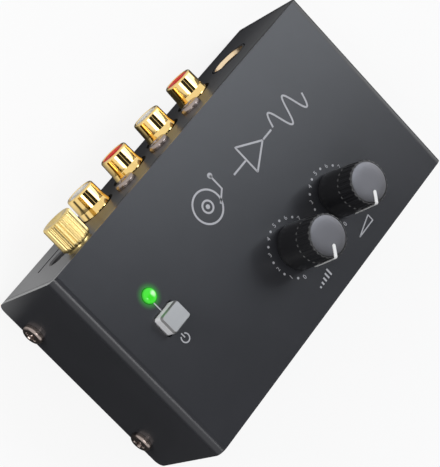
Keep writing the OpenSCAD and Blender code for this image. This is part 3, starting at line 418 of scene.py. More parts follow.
def profile(*parts):
    """Joins single (r, z) points and arcs into one outline."""
    return np.vstack([np.atleast_2d(np.asarray(part, float)) for part in parts])


def turned(outline, columns=96):
    """Local grid: each (r, z) of the outline carried round as (r cos, r sin, z)."""
    turn = np.arange(columns) * 2 * np.pi / columns
    r, z = outline[:, 0, None], outline[:, 1, None]
    return np.stack(np.broadcast_arrays(r * np.cos(turn), r * np.sin(turn), z), -1)


def stand(grid, origin, axis=(0, 0, 1), side=(1, 0, 0)):
    """Turns local millimetres into metres: z along axis, x along side, from an origin in metres."""
    axis, side = np.asarray(axis, float), np.asarray(side, float)
    frame_axes = np.stack([side, np.cross(axis, side), axis])
    return np.asarray(origin, float) + (grid @ frame_axes) * MM


def smoothstep(value):
    """0 below 0, 1 above 1, and the curve 3v^2 - 2v^3 between."""
    value = np.clip(value, 0.0, 1.0)
    return value * value * (3 - 2 * value)


# %% [markdown]
# ## Lathe lines
# Turned and spun metal keeps the fine rings of the tool. They follow the surface and not space, so
# each piece carries its own way round and way along its profile as an attribute, and noise that is
# stretched round the piece and squeezed along it draws the rings.


# %% Group: lathe lines
def make_lathe_lines():
    """Height = noise read from the turned attribute, slow round the piece, Scale lines per mm along."""
    tree, given, result = new_group(
        "lathe_lines", [("Scale", FLOAT, 12.0), ("Round", FLOAT, 0.6)], "Height", FLOAT
    )
    turned_place = add(tree, "ShaderNodeAttribute", attribute_name="turned").outputs["Vector"]
    stretch = add(tree, "ShaderNodeCombineXYZ", X=given["Round"], Y=given["Round"], Z=given["Scale"])
    stretched = vector_result(tree, "MULTIPLY", turned_place, stretch.outputs[0], "Vector")
    feed(tree, noise(tree, stretched, 1.0, 2.0, 0.7), result)
    return tree


lathe_lines = make_lathe_lines()
print("group:", lathe_lines.name)


def turn_on_lathe(material, scale, strength, rougher=0.0):
    """Adds lathe lines to a finish: a bump before its own, and a little extra roughness."""
    tree, shader = shader_of(material)
    height = add(tree, "ShaderNodeGroup", node_tree=lathe_lines, Scale=scale).outputs["Height"]
    groove = add(tree, "ShaderNodeBump", Strength=strength, Distance=0.00005, Height=height)
    own_bump = shader.inputs["Normal"].links[0].from_node
    feed(tree, groove.outputs["Normal"], own_bump.inputs["Normal"])
    if rougher:
        plain = shader.inputs["Roughness"].links[0].from_socket
        feed(tree, calculate(tree, "MULTIPLY_ADD", height, rougher, plain), shader.inputs["Roughness"])


# %% [markdown]
# ## Finishes by material slot
# The construction model names a material slot for every node. Each slot gets one finish here, and
# a loop hands it to the nodes. Colours are linear, so a dark grey paint is only 0.03.

# %% Finishes of the case and its fasteners
finishes = {
    "case_black": finish("powder_coat", (0.030, 0.031, 0.0355), (0.035, 0.036, 0.0415), 0.25,
                         grain=5200, bump=0.04, spread=0.04, bare=(0.07, 0.07, 0.075), rub=0.30,
                         rub_width=0.0002, Specular_IOR_Level=0.38),
    "chassis_black": finish("chassis_coat", (0.030, 0.031, 0.0355), (0.035, 0.036, 0.0415), 0.36,
                            grain=5200, bump=0.04, spread=0.04, bare=(0.07, 0.07, 0.075), rub=0.30,
                            rub_width=0.0002, Specular_IOR_Level=0.42),
    "dark_nickel": finish("dark_nickel", (0.29, 0.24, 0.22), (0.42, 0.35, 0.32), 0.24, metal=1.0,
                          grain=4000, bump=0.03, bare=(0.52, 0.44, 0.40), rub=0.3),
    "bright_steel": finish("bright_nickel", (0.55, 0.55, 0.56), (0.68, 0.68, 0.69), 0.22, metal=1.0,
                           bump=0.03, bare=(0.8, 0.8, 0.8), rub=0.4),
    "brass_plain": finish("turned_brass", (0.55, 0.40, 0.16), (0.66, 0.50, 0.22), 0.3, metal=1.0),
    "rubber_black": finish("foot_rubber", (0.012, 0.012, 0.012), (0.022, 0.022, 0.022), 0.85,
                           grain=2600, bump=0.25),
}
print("finishes:", len(finishes))

# %% Finishes of the jacks
finishes |= {
    "gold_plate": finish("gold_plate", (0.86, 0.60, 0.22), (0.93, 0.68, 0.28), 0.055, metal=1.0,
                         grain=2500, bump=0.004, spread=0.04),
    "insulator_white": finish("insulator_white", (0.84, 0.81, 0.74), (0.90, 0.88, 0.82), 0.3,
                              bump=0.03),
    "insulator_red": finish("insulator_red", (0.74, 0.030, 0.015), (0.84, 0.045, 0.025), 0.3,
                            bump=0.03),
    "mouth_brass": finish("mouth_brass", (0.86, 0.66, 0.42), (0.93, 0.74, 0.52), 0.24, metal=1.0,
                          bump=0.02),
    "post_gold": finish("post_gold", (0.70, 0.53, 0.20), (0.78, 0.60, 0.27), 0.27, metal=1.0,
                        grain=2500, bump=0.02),
    "socket_grey": finish("moulded_grey", (0.055, 0.055, 0.06), (0.075, 0.075, 0.08), 0.4,
                          grain=3600, bump=0.08),
    "moulded_black": finish("moulded_black", (0.010, 0.010, 0.011), (0.016, 0.016, 0.018), 0.45,
                            grain=3600, bump=0.08),
}
turn_on_lathe(finishes["gold_plate"], 9.0, 0.03)
turn_on_lathe(finishes["post_gold"], 9.0, 0.02)
turn_on_lathe(finishes["mouth_brass"], 14.0, 0.2)
print("finishes:", len(finishes))

# %% Finishes of the controls
finishes |= {
    "knob_black": finish("knob_plastic", (0.0065, 0.0065, 0.0075), (0.011, 0.011, 0.0125), 0.30,
                         grain=3800, bump=0.06, bare=(0.04, 0.04, 0.044), rub=0.25, rub_width=0.00012,
                         Specular_IOR_Level=0.7),
    "disc_satin": finish("satin_disc", (0.135, 0.133, 0.142), (0.155, 0.153, 0.163), 0.30, metal=0.85,
                         grain=6000, bump=0.10),
    "pointer_white": finish("pointer_fill", (0.91, 0.91, 0.91), (0.96, 0.96, 0.96), 0.4, bump=0.02),
    "cap_grey": finish("cap_plastic", (0.86, 0.86, 0.88), (0.91, 0.91, 0.93), 0.34, grain=3600,
                       bump=0.05),
    "lamp_green": finish("lamp_epoxy", (0.012, 0.17, 0.008), (0.018, 0.23, 0.012), 0.10, bump=0.01),
}
turn_on_lathe(finishes["disc_satin"], 22.0, 0.14, rougher=0.12)
print("finishes:", len(finishes))

# %% Finishes of what is inside
finishes |= {
    "board_green": finish("board_laminate", (0.008, 0.07, 0.03), (0.012, 0.10, 0.045), 0.35,
                          grain=2200, bump=0.05),
    "tinned_copper": finish("tinned_copper", (0.55, 0.52, 0.45), (0.65, 0.62, 0.55), 0.35, metal=1.0),
    "wire_green": finish("wire_sleeve", (0.01, 0.20, 0.03), (0.02, 0.26, 0.05), 0.4),
    "rotor_cream": finish("moulded_cream", (0.50, 0.44, 0.30), (0.58, 0.52, 0.38), 0.5),
    "sleeve_navy": finish("capacitor_sleeve", (0.012, 0.014, 0.03), (0.02, 0.022, 0.045), 0.3),
    "film_red": finish("film_box", (0.32, 0.025, 0.015), (0.40, 0.04, 0.025), 0.35),
}
print("finishes:", len(finishes))

# %% Hand the finishes to the nodes
own_finish = {"chassis": "chassis_black"}
for row in frame["record"]["subparts"]:
    for holder in frame["nodes"][row["node"]].material_slots:
        holder.material = finishes[own_finish.get(row["node"], row["material_slot"])]

# %% [markdown]
# ## The knobs
# A knob is a moulded cone, smooth below and fluted above, so that fingers grip it near the top.
# Cutting flutes one by one gives ragged run-outs. Here the radius itself is a function of the
# angle and the height: the plain cone, less a round scallop at each of 24 places, whose depth
# grows from nothing. The flute under the pointer is left out, as the mould leaves it.

# %% Knob sizes
CONTROLS = ("level", "volume")
DIAL_ZERO = math.radians(-119)
POINTER_SIDE = (math.cos(DIAL_ZERO), math.sin(DIAL_ZERO), 0)
FLUTES = 24
FLUTE_SHARE = 0.62
FLUTE_DEPTH = 0.22
FLUTE_START = 8.25
FLUTE_RUNOUT = 0.22
FLUTE_ARCH = 0.7
KNOB_WAIST = 5.9
KNOB_TOP = 5.65
RIM_ROUND = 0.45
RECESS_GAP = 0.04
RECESS_DEPTH = 0.55
knob_w, _, knob_h = size_of("level_knob")
knob_r = knob_w / 2
disc_r = size_of("level_knob_disc").x / 2
recess_r = disc_r + RECESS_GAP
print(f"knob r {knob_r:.2f}, h {knob_h:.2f}, disc r {disc_r:.2f} mm")


def knob_wall(z):
    """Radius of the plain cone: steep up to the flutes, and nearly upright above."""
    return np.interp(z, [0, FLUTE_START, knob_h], [knob_r, KNOB_WAIST, KNOB_TOP])


def make_knob_part(control, ending, grid, slot, replaced, **shading):
    """One piece of a knob, from a grid above the knob's lower edge with x along its pointer."""
    placed = stand(grid, foot_of(control + "_knob"), side=POINTER_SIDE)
    return make_piece(control + ending, [placed], control + "_control", slot,
                      replaced=[control + replaced], **shading)


# %% Knob surface
def knob_outline():
    """Outline of a knob: bore, hub, hollow, wall, rounded rim, and the recess for the disc."""
    core_r = 0.4
    bore_r = 3.05
    bore_h = 11.0
    hub_r = 4.2
    hollow_r = knob_r - 1.1
    hollow_h = 7.5
    runout_end = FLUTE_START + FLUTE_RUNOUT
    arch_end = runout_end + FLUTE_ARCH
    spans = [(0.25, FLUTE_START, 6), (FLUTE_START, runout_end, 8), (runout_end, arch_end, 12),
             (arch_end, knob_h - RIM_ROUND, 8)]
    wall_z = np.unique(np.concatenate([np.linspace(*span) for span in spans]))
    wall_r = knob_wall(wall_z)
    return profile(
        (core_r, bore_h), (bore_r, bore_h), (bore_r, 0), (hub_r, 0), (hub_r, hollow_h),
        (hollow_r, hollow_h), (hollow_r, 0), (knob_r - 0.25, 0), (knob_r - 0.07, 0.07),
        np.stack([wall_r, wall_z], 1), arc(wall_r[-1] - RIM_ROUND, knob_h - RIM_ROUND, RIM_ROUND, 10, 90, 7),
        (recess_r, knob_h), (recess_r, knob_h - RECESS_DEPTH), (core_r, knob_h - RECESS_DEPTH),
    )


def knob_grid(columns=16 * FLUTES):
    """Radius = cone(z) - depth(z) x scallop(angle), with scallop = sqrt(1 - (offset / half width)^2).
    A flute starts lowest in its middle and FLUTE_ARCH later at its sides, as a round cutter leaves it."""
    outline = knob_outline()
    grid = turned(outline, columns)
    turn = np.arange(columns) / columns * FLUTES
    offset = np.abs((turn + 0.5) % 1.0 - 0.5) / (FLUTE_SHARE / 2)
    scallop = np.sqrt(np.clip(1 - offset**2, 0, 1))
    scallop[(turn > FLUTES - 0.5) | (turn < 0.5)] = 0
    r, z = outline[:, 0, None], outline[:, 1, None]
    depth = FLUTE_DEPTH * smoothstep((z - FLUTE_START - FLUTE_ARCH * (1 - scallop)) / FLUTE_RUNOUT)
    top_r = knob_wall(knob_h - RIM_ROUND)
    depth *= np.clip((r - recess_r - 0.03) / (top_r - recess_r), 0, 1)
    grid[..., :2] *= (1 - depth * scallop / r)[..., None]
    return grid


for control in CONTROLS:
    make_knob_part(control, "_knob_fluted", knob_grid(), "knob_black", "_knob", smooth=40)

# %% [markdown]
# ## The discs in the knobs
# Each disc is a thin aluminium plate, spun slightly crowned, with the fine rings of the tool. The
# crown falls away near the rim, which darkens one side of it and lights the other, so it is real
# shape and not paint: height = rim + crown x (1 - (r / R)^5).


# %% Disc surface
CROWN = 0.16
CROWN_POWER = 5


def disc_height(r):
    """Height of the crowned face above the knob's lower edge, in mm."""
    return knob_h - 0.03 + CROWN * (1 - (r / disc_r) ** CROWN_POWER)


def disc_grid():
    """Crowned face, a small bevel at the rim, and a flat back."""
    face_r = (disc_r - 0.1) * np.linspace(0.002, 1, 24) ** 0.55
    outline = profile(
        np.stack([face_r, disc_height(face_r)], 1), (disc_r, knob_h - 0.13),
        (disc_r, knob_h - 0.5), (0.15, knob_h - 0.5),
    )
    return turned(outline, 128)


for control in CONTROLS:
    make_knob_part(control, "_disc_spun", disc_grid(), "disc_satin", "_knob_disc")

# %% [markdown]
# ## The pointers
# The pointer is one white moulding: a bar on the disc with a rounded inner end, over the rim, and
# on down the side as a thin line. It is a section carried along a path. The path is the knob's own
# outline, and the width changes with the way along it.

# %% Pointer sizes
POINTER_START = 2.3
POINTER_WIDTH = 0.82
POINTER_LINE = 0.42
POINTER_END_Z = 4.3
POINTER_DEEP = 0.25
POINTER_LEAN = 0.55
# Place across the bar, as a share of its width, and height over the path in mm.
POINTER_SECTION = np.array([
    (-0.5, 0.02), (-0.47, 0.045), (-0.25, 0.06), (0, 0.065), (0.25, 0.06), (0.47, 0.045), (0.5, 0.02),
    (0.5, -POINTER_DEEP), (-0.5, -POINTER_DEEP),
])


# %% Pointer surface
def pointer_grid():
    """Rows along the path. Each is the section, spread by width(s) and raised along the path's normal.
    The bar leans: its inner end lies POINTER_LEAN to one side, and its outer end on the radius."""
    bar_r = np.linspace(POINTER_START, disc_r - 0.05, 14)
    side_z = np.linspace(knob_h - RIM_ROUND, POINTER_END_Z, 16)
    path = profile(
        np.stack([bar_r, disc_height(bar_r)], 1),
        arc(KNOB_TOP - RIM_ROUND, knob_h - RIM_ROUND, RIM_ROUND, 90, 10, 7),
        np.stack([knob_wall(side_z), side_z], 1),
    )
    tangent = np.gradient(path, axis=0)
    tangent /= np.linalg.norm(tangent, axis=1)[:, None]
    along = np.concatenate([[0], np.cumsum(np.linalg.norm(np.diff(path, axis=0), axis=1))])
    over_rim = along[len(bar_r) + 7]
    width = np.interp(along, [over_rim, over_rim + 1.0], [POINTER_WIDTH, POINTER_LINE])
    start_round = np.sqrt(np.clip(1 - (1 - along / (POINTER_WIDTH / 2)) ** 2, 0.02, 1))
    width *= np.where(along < POINTER_WIDTH / 2, start_round, 1)
    lean = POINTER_LEAN * np.clip(1 - along / over_rim, 0, 1)
    across, lift = POINTER_SECTION.T
    grid = np.empty((len(path), len(across), 3))
    grid[..., 0] = path[:, 0, None] + tangent[:, 1, None] * lift
    grid[..., 1] = lean[:, None] + width[:, None] * across
    grid[..., 2] = path[:, 1, None] - tangent[:, 0, None] * lift
    return grid


for control in CONTROLS:
    make_knob_part(control, "_pointer_bar", pointer_grid(), "pointer_white", "_pointer")

# %% [markdown]
# ## The signal jacks
# A gold plated barrel is polished, so its whole look is what it mirrors, and facets would show at
# once. Each is a closed ring of 192 columns: a flared foot at the panel, a barrel that tapers by
# a few hundredths towards a well rounded rim, and the bore back down to the insulator.

# %% Barrel of a signal jack
REAR = (0, 1, 0)
UPWARD = (0, 0, 1)
RCA_R = 4.15
RCA_REACH = 6.3
FLARE = 0.38
FOOT_END = 1.7
RIM_R = RCA_R - 0.12
RIM_ROUNDING = 0.55
LIP_ROUNDING = 0.2
SHELL_R = 3.85
SHELL_END = -6
SHOULDER = -0.75


def on_panel(outline, node, columns):
    """Turned grid of an outline whose axis stands on the rear panel, behind a node's middle."""
    return stand(turned(outline, columns), on_rear(node), REAR, UPWARD)


def barrel_outline():
    """Outline of a barrel, height 0 at the panel's outer face. Short steps at both ends of the long
    wall keep its shading straight."""
    crest_r = RIM_R - RIM_ROUNDING
    bore_r = crest_r - LIP_ROUNDING
    wall_end = RCA_REACH - RIM_ROUNDING
    wall_z = np.array([FOOT_END + 0.05, FOOT_END + 0.2, 3.6, wall_end - 0.2, wall_end])
    wall_r = np.interp(wall_z, [FOOT_END, wall_end], [RCA_R + 0.03, RIM_R])
    foot_z = np.array([0.12, 0.25, FOOT_END - 0.15, FOOT_END - 0.03])
    foot_r = np.interp(foot_z, [0, FOOT_END], [RCA_R + FLARE, RCA_R + 0.06])
    return profile(
        (bore_r, SHELL_END), (SHELL_R, SHELL_END), (SHELL_R, SHOULDER), (RCA_R + 0.2, SHOULDER),
        (RCA_R + FLARE, SHOULDER + 0.15), np.stack([foot_r, foot_z], 1), np.stack([wall_r, wall_z], 1),
        arc(crest_r, wall_end, RIM_ROUNDING, 6, 90, 12),
        arc(crest_r, RCA_REACH - LIP_ROUNDING, LIP_ROUNDING, 100, 180, 8), (bore_r, 3.0),
    )


# %% Insulator of a signal jack
MOUTH_R = 1.75
MOUTH_FOOT = 3.9
BEAD_R = 2.75
EDGE_R = 3.26
STEM_R = 2.2
STEM_END = -5


def insulator_outline():
    """Outline of the insulator: a flat ring with a raised bead and a dish round the socket."""
    face = RCA_REACH - 0.2
    return profile(
        (MOUTH_R, MOUTH_FOOT), (MOUTH_R, face - 0.5), arc(MOUTH_R + 0.4, face - 0.4, 0.4, 180, 90, 5),
        (BEAD_R - 0.2, face), arc(BEAD_R, face, 0.12, 180, 0, 6), (EDGE_R - 0.1, face),
        (EDGE_R, face - 0.1), (EDGE_R, STEM_END), (STEM_R, STEM_END), (STEM_R, MOUTH_FOOT),
    )


# %% Four signal jacks
for number in (1, 2, 3, 4):
    barrel, insulator = f"rca_barrel_{number}", f"rca_insulator_{number}"
    make_piece(f"signal_barrel_{number}", [on_panel(barrel_outline(), barrel, 192)], "case",
               "gold_plate", replaced=[barrel], ring=True, smooth=50)
    make_piece(f"signal_insulator_{number}", [on_panel(insulator_outline(), barrel, 128)], "case",
               "insulator_white" if number % 2 else "insulator_red", replaced=[insulator], ring=True)

# %% [markdown]
# ## The mouth of the phone jack
# A black collar holds a brass funnel, which guides the plug into a black throat. Seen along the
# panel, the far wall of the funnel is the bright part, and the throat and the collar are the dark
# crescent at the near edge, so the three are separate turned pieces with real depth between them.


# %% Phone jack mouth
COLLAR_R = 4.85
COLLAR_OUTER_R = 5.35
FUNNEL_R = 4.4
FUNNEL_DEPTH = 1.15
HOLDER_R = 4.56
SEAT = 0.98
BORE_R = 3.2
BORE_ROUND = 0.3
BORE_END = 4.4


def collar_outline():
    """Outline of the collar, height 0 at the panel's outer face."""
    return profile(
        (COLLAR_R + 0.02, -SEAT), (COLLAR_OUTER_R, -SEAT), (COLLAR_OUTER_R, -0.25),
        arc(COLLAR_OUTER_R - 0.16, -0.1, 0.16, 0, 90, 5), arc(COLLAR_R + 0.14, -0.08, 0.12, 90, 170, 4),
    )


def mouth_outline():
    """Outline of the funnel, which starts just inside the collar."""
    return profile(
        (FUNNEL_R, -FUNNEL_DEPTH), (HOLDER_R, -FUNNEL_DEPTH - 0.2), (HOLDER_R + 0.01, -SEAT),
        (COLLAR_R, -SEAT), (COLLAR_R, -0.16), (COLLAR_R - 0.03, -0.13), (COLLAR_R - 0.08, -0.35),
        (FUNNEL_R + 0.1, -FUNNEL_DEPTH + 0.3),
    )


def throat_outline():
    """Outline of the black throat behind the funnel, with a rounded edge round the bore."""
    face = -FUNNEL_DEPTH - 0.25
    return profile(
        (BORE_R, -BORE_END), (HOLDER_R - 0.01, -BORE_END), (HOLDER_R - 0.01, face),
        (BORE_R + BORE_ROUND, face), arc(BORE_R + BORE_ROUND, face - BORE_ROUND, BORE_ROUND, 90, 180, 5),
    )


phone_mouth = "phone_jack_mouth"
make_piece("phone_mouth_turned", [on_panel(mouth_outline(), phone_mouth, 160)], "case", "mouth_brass",
           replaced=[phone_mouth], ring=True)
make_piece("phone_throat", [on_panel(collar_outline(), phone_mouth, 128),
                            on_panel(throat_outline(), phone_mouth, 96)],
           "case", "moulded_black", ring=True)

# %% [markdown]
# ## The thumb nut
# Straight knurls are pressed in by a wheel, so the ridges are rounded, the grooves between them
# narrow, and both fade out on the chamfers at the two ends. As on the knobs, the radius is a
# function of angle and height.

# %% Thumb nut
KNURLS = 24
KNURL_DEPTH = 0.36


def nut_grid(nut_r, nut_len, columns=12 * KNURLS):
    """Radius = outline(z) - depth(z) x groove, with groove = (1 + cos(knurl's angle)) / 2."""
    bore_r = 1.6
    chamfer = 0.55
    wall = np.linspace(chamfer, nut_len - chamfer, 12)
    outline = profile(
        (bore_r, 0.3), (bore_r + 0.3, 0), (nut_r - chamfer, 0), (nut_r - chamfer + 0.12, 0.06),
        np.stack([np.full_like(wall, nut_r), wall], 1),
        arc(nut_r - chamfer, nut_len - chamfer, chamfer, 25, 80, 4), (nut_r - chamfer - 0.25, nut_len),
        (nut_r - 1.3, nut_len), (nut_r - 1.45, nut_len - 0.12), (bore_r + 0.7, nut_len - 0.12),
        (bore_r, nut_len - 0.7),
    )
    grid = turned(outline, columns)
    turn = np.arange(columns) / columns * KNURLS
    groove = 0.5 + 0.5 * np.cos(2 * np.pi * turn)
    r, z = outline[:, 0, None], outline[:, 1, None]
    depth = KNURL_DEPTH * smoothstep((r - nut_r + chamfer + 0.1) / chamfer) * smoothstep(z / 0.4)
    grid[..., :2] *= (1 - depth * groove / r)[..., None]
    return grid


nut_w, nut_len, _ = size_of("ground_nut")
nut_seat = middle_of("ground_nut")
nut_seat.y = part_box("ground_nut")[0].y
make_piece("thumb_nut_knurled", [stand(nut_grid(nut_w / 2, nut_len), nut_seat, REAR, UPWARD)],
           "post_nut", "post_gold", replaced=["ground_nut"], ring=True, smooth=50)

# %% [markdown]
# ## The screws
# A pan head is a low dome with a cross recess. The recess is punched, so its walls slope and its
# edges are soft. A grid of rings over the head gives both: height = dome(r) - depth x how far a
# point lies inside the cross.

# %% Screw head
HEAD_R = 2.9
HEAD_H = 1.5
FACE_R = 2.15
FACE_RISE = 0.08
CROSS_ARM = 1.65
CROSS_HALF = 0.36
CROSS_DEPTH = 1.2
CENTRE_R = 0.95
CENTRE_DEPTH = 1.6


def screw_grid(columns=96):
    """Flank, rounded shoulder, and a face whose height falls inside the cross, deepest in the middle."""
    face_r = np.linspace(FACE_R, 0.06, 22)
    outline = profile(
        (1.4, -1.0), (1.4, 0), (HEAD_R - 0.05, 0), (HEAD_R, 0.05), (HEAD_R, 0.45),
        arc(HEAD_R - 0.8, HEAD_H - 0.95, 0.8, 0, 75, 8),
        np.stack([face_r, HEAD_H - FACE_RISE * (face_r / FACE_R) ** 2], 1),
    )
    outline[5:14, 1] *= (HEAD_H - FACE_RISE) / outline[13, 1]
    grid = turned(outline, columns)
    x, y = np.abs(grid[..., 0]), np.abs(grid[..., 1])
    along, across = np.maximum(x, y), np.minimum(x, y)
    cross = smoothstep((CROSS_HALF - across) / 0.16 + 0.5) * smoothstep((CROSS_ARM - along) / 0.5)
    centre = smoothstep((CENTRE_R - np.hypot(x, y)) / 0.25)
    recess = np.maximum(CROSS_DEPTH * cross, CENTRE_DEPTH * centre)
    grid[..., 2] -= np.where(grid[..., 2] > HEAD_H - 0.2, recess, 0)
    return grid


def screw_turned(angle, origin, axis, side):
    """A screw head with its cross turned by an angle, since no two screws stop alike."""
    turned_side = math.cos(angle) * np.asarray(side) + math.sin(angle) * np.cross(axis, side)
    return stand(screw_grid(), origin, axis, turned_side)


# %% Side screws
side_low, side_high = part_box("side_screws")
side_z = (side_low.z + side_high.z) / 2
head_half = HEAD_R * MM
side_shells = []
for wall_x, end in ((cover_low.x, -1), (cover_high.x, 1)):
    for y in (side_low.y + head_half, side_high.y - head_half):
        angle = 0.5 + 1.1 * len(side_shells)
        side_shells.append(screw_turned(angle, (wall_x, y, side_z), (end, 0, 0), UPWARD))
make_piece("side_screw_heads", side_shells, "case", "dark_nickel", replaced=["side_screws"], smooth=30)

# %% Panel screws
panel_low, panel_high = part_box("panel_screws")
panel_z = (panel_low.z + panel_high.z) / 2
panel_x = np.linspace(panel_low.x + head_half, panel_high.x - head_half, 3)
make_piece(
    "panel_screw_heads",
    [screw_turned(0.3 + 0.9 * k, (x, cover_high.y, panel_z), REAR, UPWARD) for k, x in enumerate(panel_x)],
    "case", "dark_nickel", replaced=["panel_screws"], smooth=30,
)

# %% [markdown]
# ## The power button
# The cap is a small moulded block with rounded uprights. A steep facet runs round its face. The
# facet and the face get a metal share, and their colour is painted darker than the pale plastic of
# the sides, darkest on the facet: the metal mirrors the dark panel below it, and the darker tones are
# painted shade. Each row of the grid is the same rounded rectangle, drawn in by an inset.

# %% Button cap
CAP_CORNER = 0.8
CAP_BEVEL = 0.34
CAP_FACET = 0.75
CAP_LIFT = 0.4


def rounded_loop(width, depth, corner, steps=10):
    """Closed loop of a rounded rectangle: four quarter circles, joined by straight sides."""
    turn = np.linspace(0, np.pi / 2, steps + 1)
    loop = []
    for k, (i, j) in enumerate([(1, 1), (-1, 1), (-1, -1), (1, -1)]):
        angle = turn + k * np.pi / 2
        loop.append(np.stack([i * (width / 2 - corner) + corner * np.cos(angle),
                              j * (depth / 2 - corner) + corner * np.sin(angle)], 1))
    return np.vstack(loop)


def cap_grid(width, depth, height):
    """Rows of (inset, z): the side, a steep facet, and a flat face with a crisp edge."""
    rows = profile(
        (0.3, 0), (0, 0.3), (0, height - CAP_FACET - 0.1), (0, height - CAP_FACET),
        (CAP_BEVEL, height), (CAP_BEVEL + 0.4, height), (width / 2 - 1.0, height),
    )
    grid = []
    for inset, z in rows:
        loop = rounded_loop(width - 2 * inset, depth - 2 * inset, max(CAP_CORNER - inset, 0.12))
        grid.append(np.column_stack([loop, np.full(len(loop), z)]))
    return np.stack(grid)


cap_size = size_of("power_cap") + Vector((0, 0, CAP_LIFT))
cap_foot = foot_of("power_cap")
make_piece("power_cap_moulded", [stand(cap_grid(*cap_size), cap_foot)], "power_button", "cap_grey",
           replaced=["power_cap"], smooth=20)


# %% Plating and painted shade of the cap
PLATE_HALF = 0.1 * MM
PLATED_METAL = 0.8
# The two tones are painted shade: the facet and the face are painted darker than the pale sides.
FACET_SHADE_TONE = 0.30
FACE_SHADE_TONE = 0.47


def plate_above(material, height, tone):
    """Above a height the colour changes to a darker tone of painted shade over a fifth of a millimetre,
    and so does the metal share, unless a lower step has already set it."""
    tree, shader = shader_of(material)
    low, high = height - PLATE_HALF, height + PLATE_HALF
    z = axes_of(tree, place_on(tree))["Z"]
    colour, metal = shader.inputs["Base Color"], shader.inputs["Metallic"]
    feed(tree, mixed(tree, slope(tree, z, low, high), colour.links[0].from_socket, grey(tone)), colour)
    if not metal.is_linked:
        feed(tree, slope(tree, z, low, high, 0.0, PLATED_METAL), metal)


facet_foot = cap_foot.z + (cap_size.z - CAP_FACET - 0.05) * MM
plate_above(finishes["cap_grey"], facet_foot, FACET_SHADE_TONE)
plate_above(finishes["cap_grey"], facet_foot + (CAP_FACET - 0.05) * MM, FACE_SHADE_TONE)
print(f"plated above {(facet_foot - cap_foot.z) / MM:.2f} mm")

# %% [markdown]
# ## The pilot lamp
# A cast epoxy lens with its light on. Its green glow is painted deeper towards the foot as painted
# shade, and a pale spot near the crown is a painted highlight. The glow is part of the lens's own material.


# %% Lamp lens
FLANGE = 0.4
DOME = 1.0


def lamp_grid(lens_r, height):
    """Flange, cylinder, and a dome that is an arc of DOME rise."""
    flange_r = lens_r + FLANGE
    ball = (lens_r**2 + DOME**2) / (2 * DOME)
    steep = math.degrees(math.asin(lens_r / ball))
    outline = profile(
        (0.1, 0), (flange_r, 0), (flange_r, 1), (lens_r, 1.05), (lens_r, height - DOME - 0.06),
        arc(0, height - ball, ball, 90 - steep + 3, 88, 10),
    )
    return turned(outline, 96)


lamp_w, _, lamp_h = size_of("pilot_lamp")
lamp_foot = foot_of("pilot_lamp")
lens_r = lamp_w / 2 - FLANGE
make_piece("pilot_lens", [stand(lamp_grid(lens_r, lamp_h), lamp_foot)], "case", "lamp_green",
           replaced=["pilot_lamp"])


# %% Glow of the lens
def glow_with(tree, shader, colour):
    """Lets a surface give off a colour of its own."""
    feed(tree, colour, shader.inputs["Emission Color"])
    feed(tree, 1.0, shader.inputs["Emission Strength"])


def light_lens(material, low, high, painted_highlight_spot):
    """Glow = deep green at the foot as painted shade, full green at the crown, and pale within a
    millimetre of the spot of the painted highlight."""
    tree, shader = shader_of(material)
    place = place_on(tree)
    rise = slope(tree, axes_of(tree, place)["Z"], low, high)
    green = mixed(tree, rise, (0.0, 0.03, 0.0, 1), (0.03, 0.60, 0.012, 1))
    away = vector_result(tree, "DISTANCE", place, painted_highlight_spot)
    painted_highlight = slope(tree, away, 0.2 * MM, 1.15 * MM, 1.0, 0.0, interpolation_type="SMOOTHSTEP")
    glow_with(tree, shader, mixed(tree, painted_highlight, green, (0.52, 0.95, 0.48, 1)))


lamp_top = lamp_foot + Vector((0, 0, lamp_h * MM))
# The deep green at the foot is painted shade, and the pale spot near the crown is a painted highlight.
light_lens(finishes["lamp_green"], cover_high.z, lamp_top.z - 0.6 * MM,
           lamp_top + Vector((0.85, -0.1, -0.1)) * MM)
print(f"lens r {lens_r:.2f} mm")

# %% [markdown]
# ## The lamp's halo
# The lamp throws a little light sideways on the paint round its foot. A light inside so small a
# lens would be slow and noisy, so the paint carries the halo itself: a green glow that falls from
# the lens's edge to nothing in under two millimetres.


# %% Halo on the paint
HALO_REACH = 1.7
HALO_COLOUR = (0.003, 0.22, 0.002, 1)


def add_halo(material, foot, inner, reach):
    """Glow = full at inner from the lamp's axis, nothing at reach, and squared between."""
    tree, shader = shader_of(material)
    away = vector_result(tree, "DISTANCE", place_on(tree), foot)
    share = calculate(tree, "POWER", slope(tree, away, reach, inner), 2.0)
    glow_with(tree, shader, mixed(tree, share, grey(0.0), HALO_COLOUR))


halo_foot = Vector((lamp_foot.x, lamp_foot.y, cover_high.z))
add_halo(finishes["case_black"], halo_foot, lens_r * MM, (lens_r + HALO_REACH) * MM)
print(f"halo from {lens_r:.2f} to {lens_r + HALO_REACH:.2f} mm")

# %% [markdown]
# ## Printing on the panel
# The marks are screen printed: a flat film of ink a few hundredths of a millimetre thick. Each
# mark is a thin solid on the painted top, so that it stays sharp at any distance. The dials carry
# plain numbers with a dot at each half step, and the controls carry plain signs.

# %% Ink helpers
INK = 0.02
finishes["ink_grey"] = finish("screen_ink", (0.44, 0.44, 0.47), (0.50, 0.50, 0.53), 0.5, bump=0.03)


def ribbon(path, width, closed=False):
    """Flat strip along a path in mm: each point is moved half the width to either side, and up by INK."""
    path = np.asarray(path, float)
    if closed:
        tangent = np.roll(path, -1, 0) - np.roll(path, 1, 0)
    else:
        tangent = np.gradient(path, axis=0)
    tangent /= np.linalg.norm(tangent, axis=1)[:, None]
    out = np.stack([-tangent[:, 1], tangent[:, 0]], 1) * width / 2
    left, right = path + out, path - out
    section = [(left, 0), (left, INK), (right, INK), (right, 0)]
    return np.stack([np.column_stack([edge, np.full(len(path), z)]) for edge, z in section], 1)


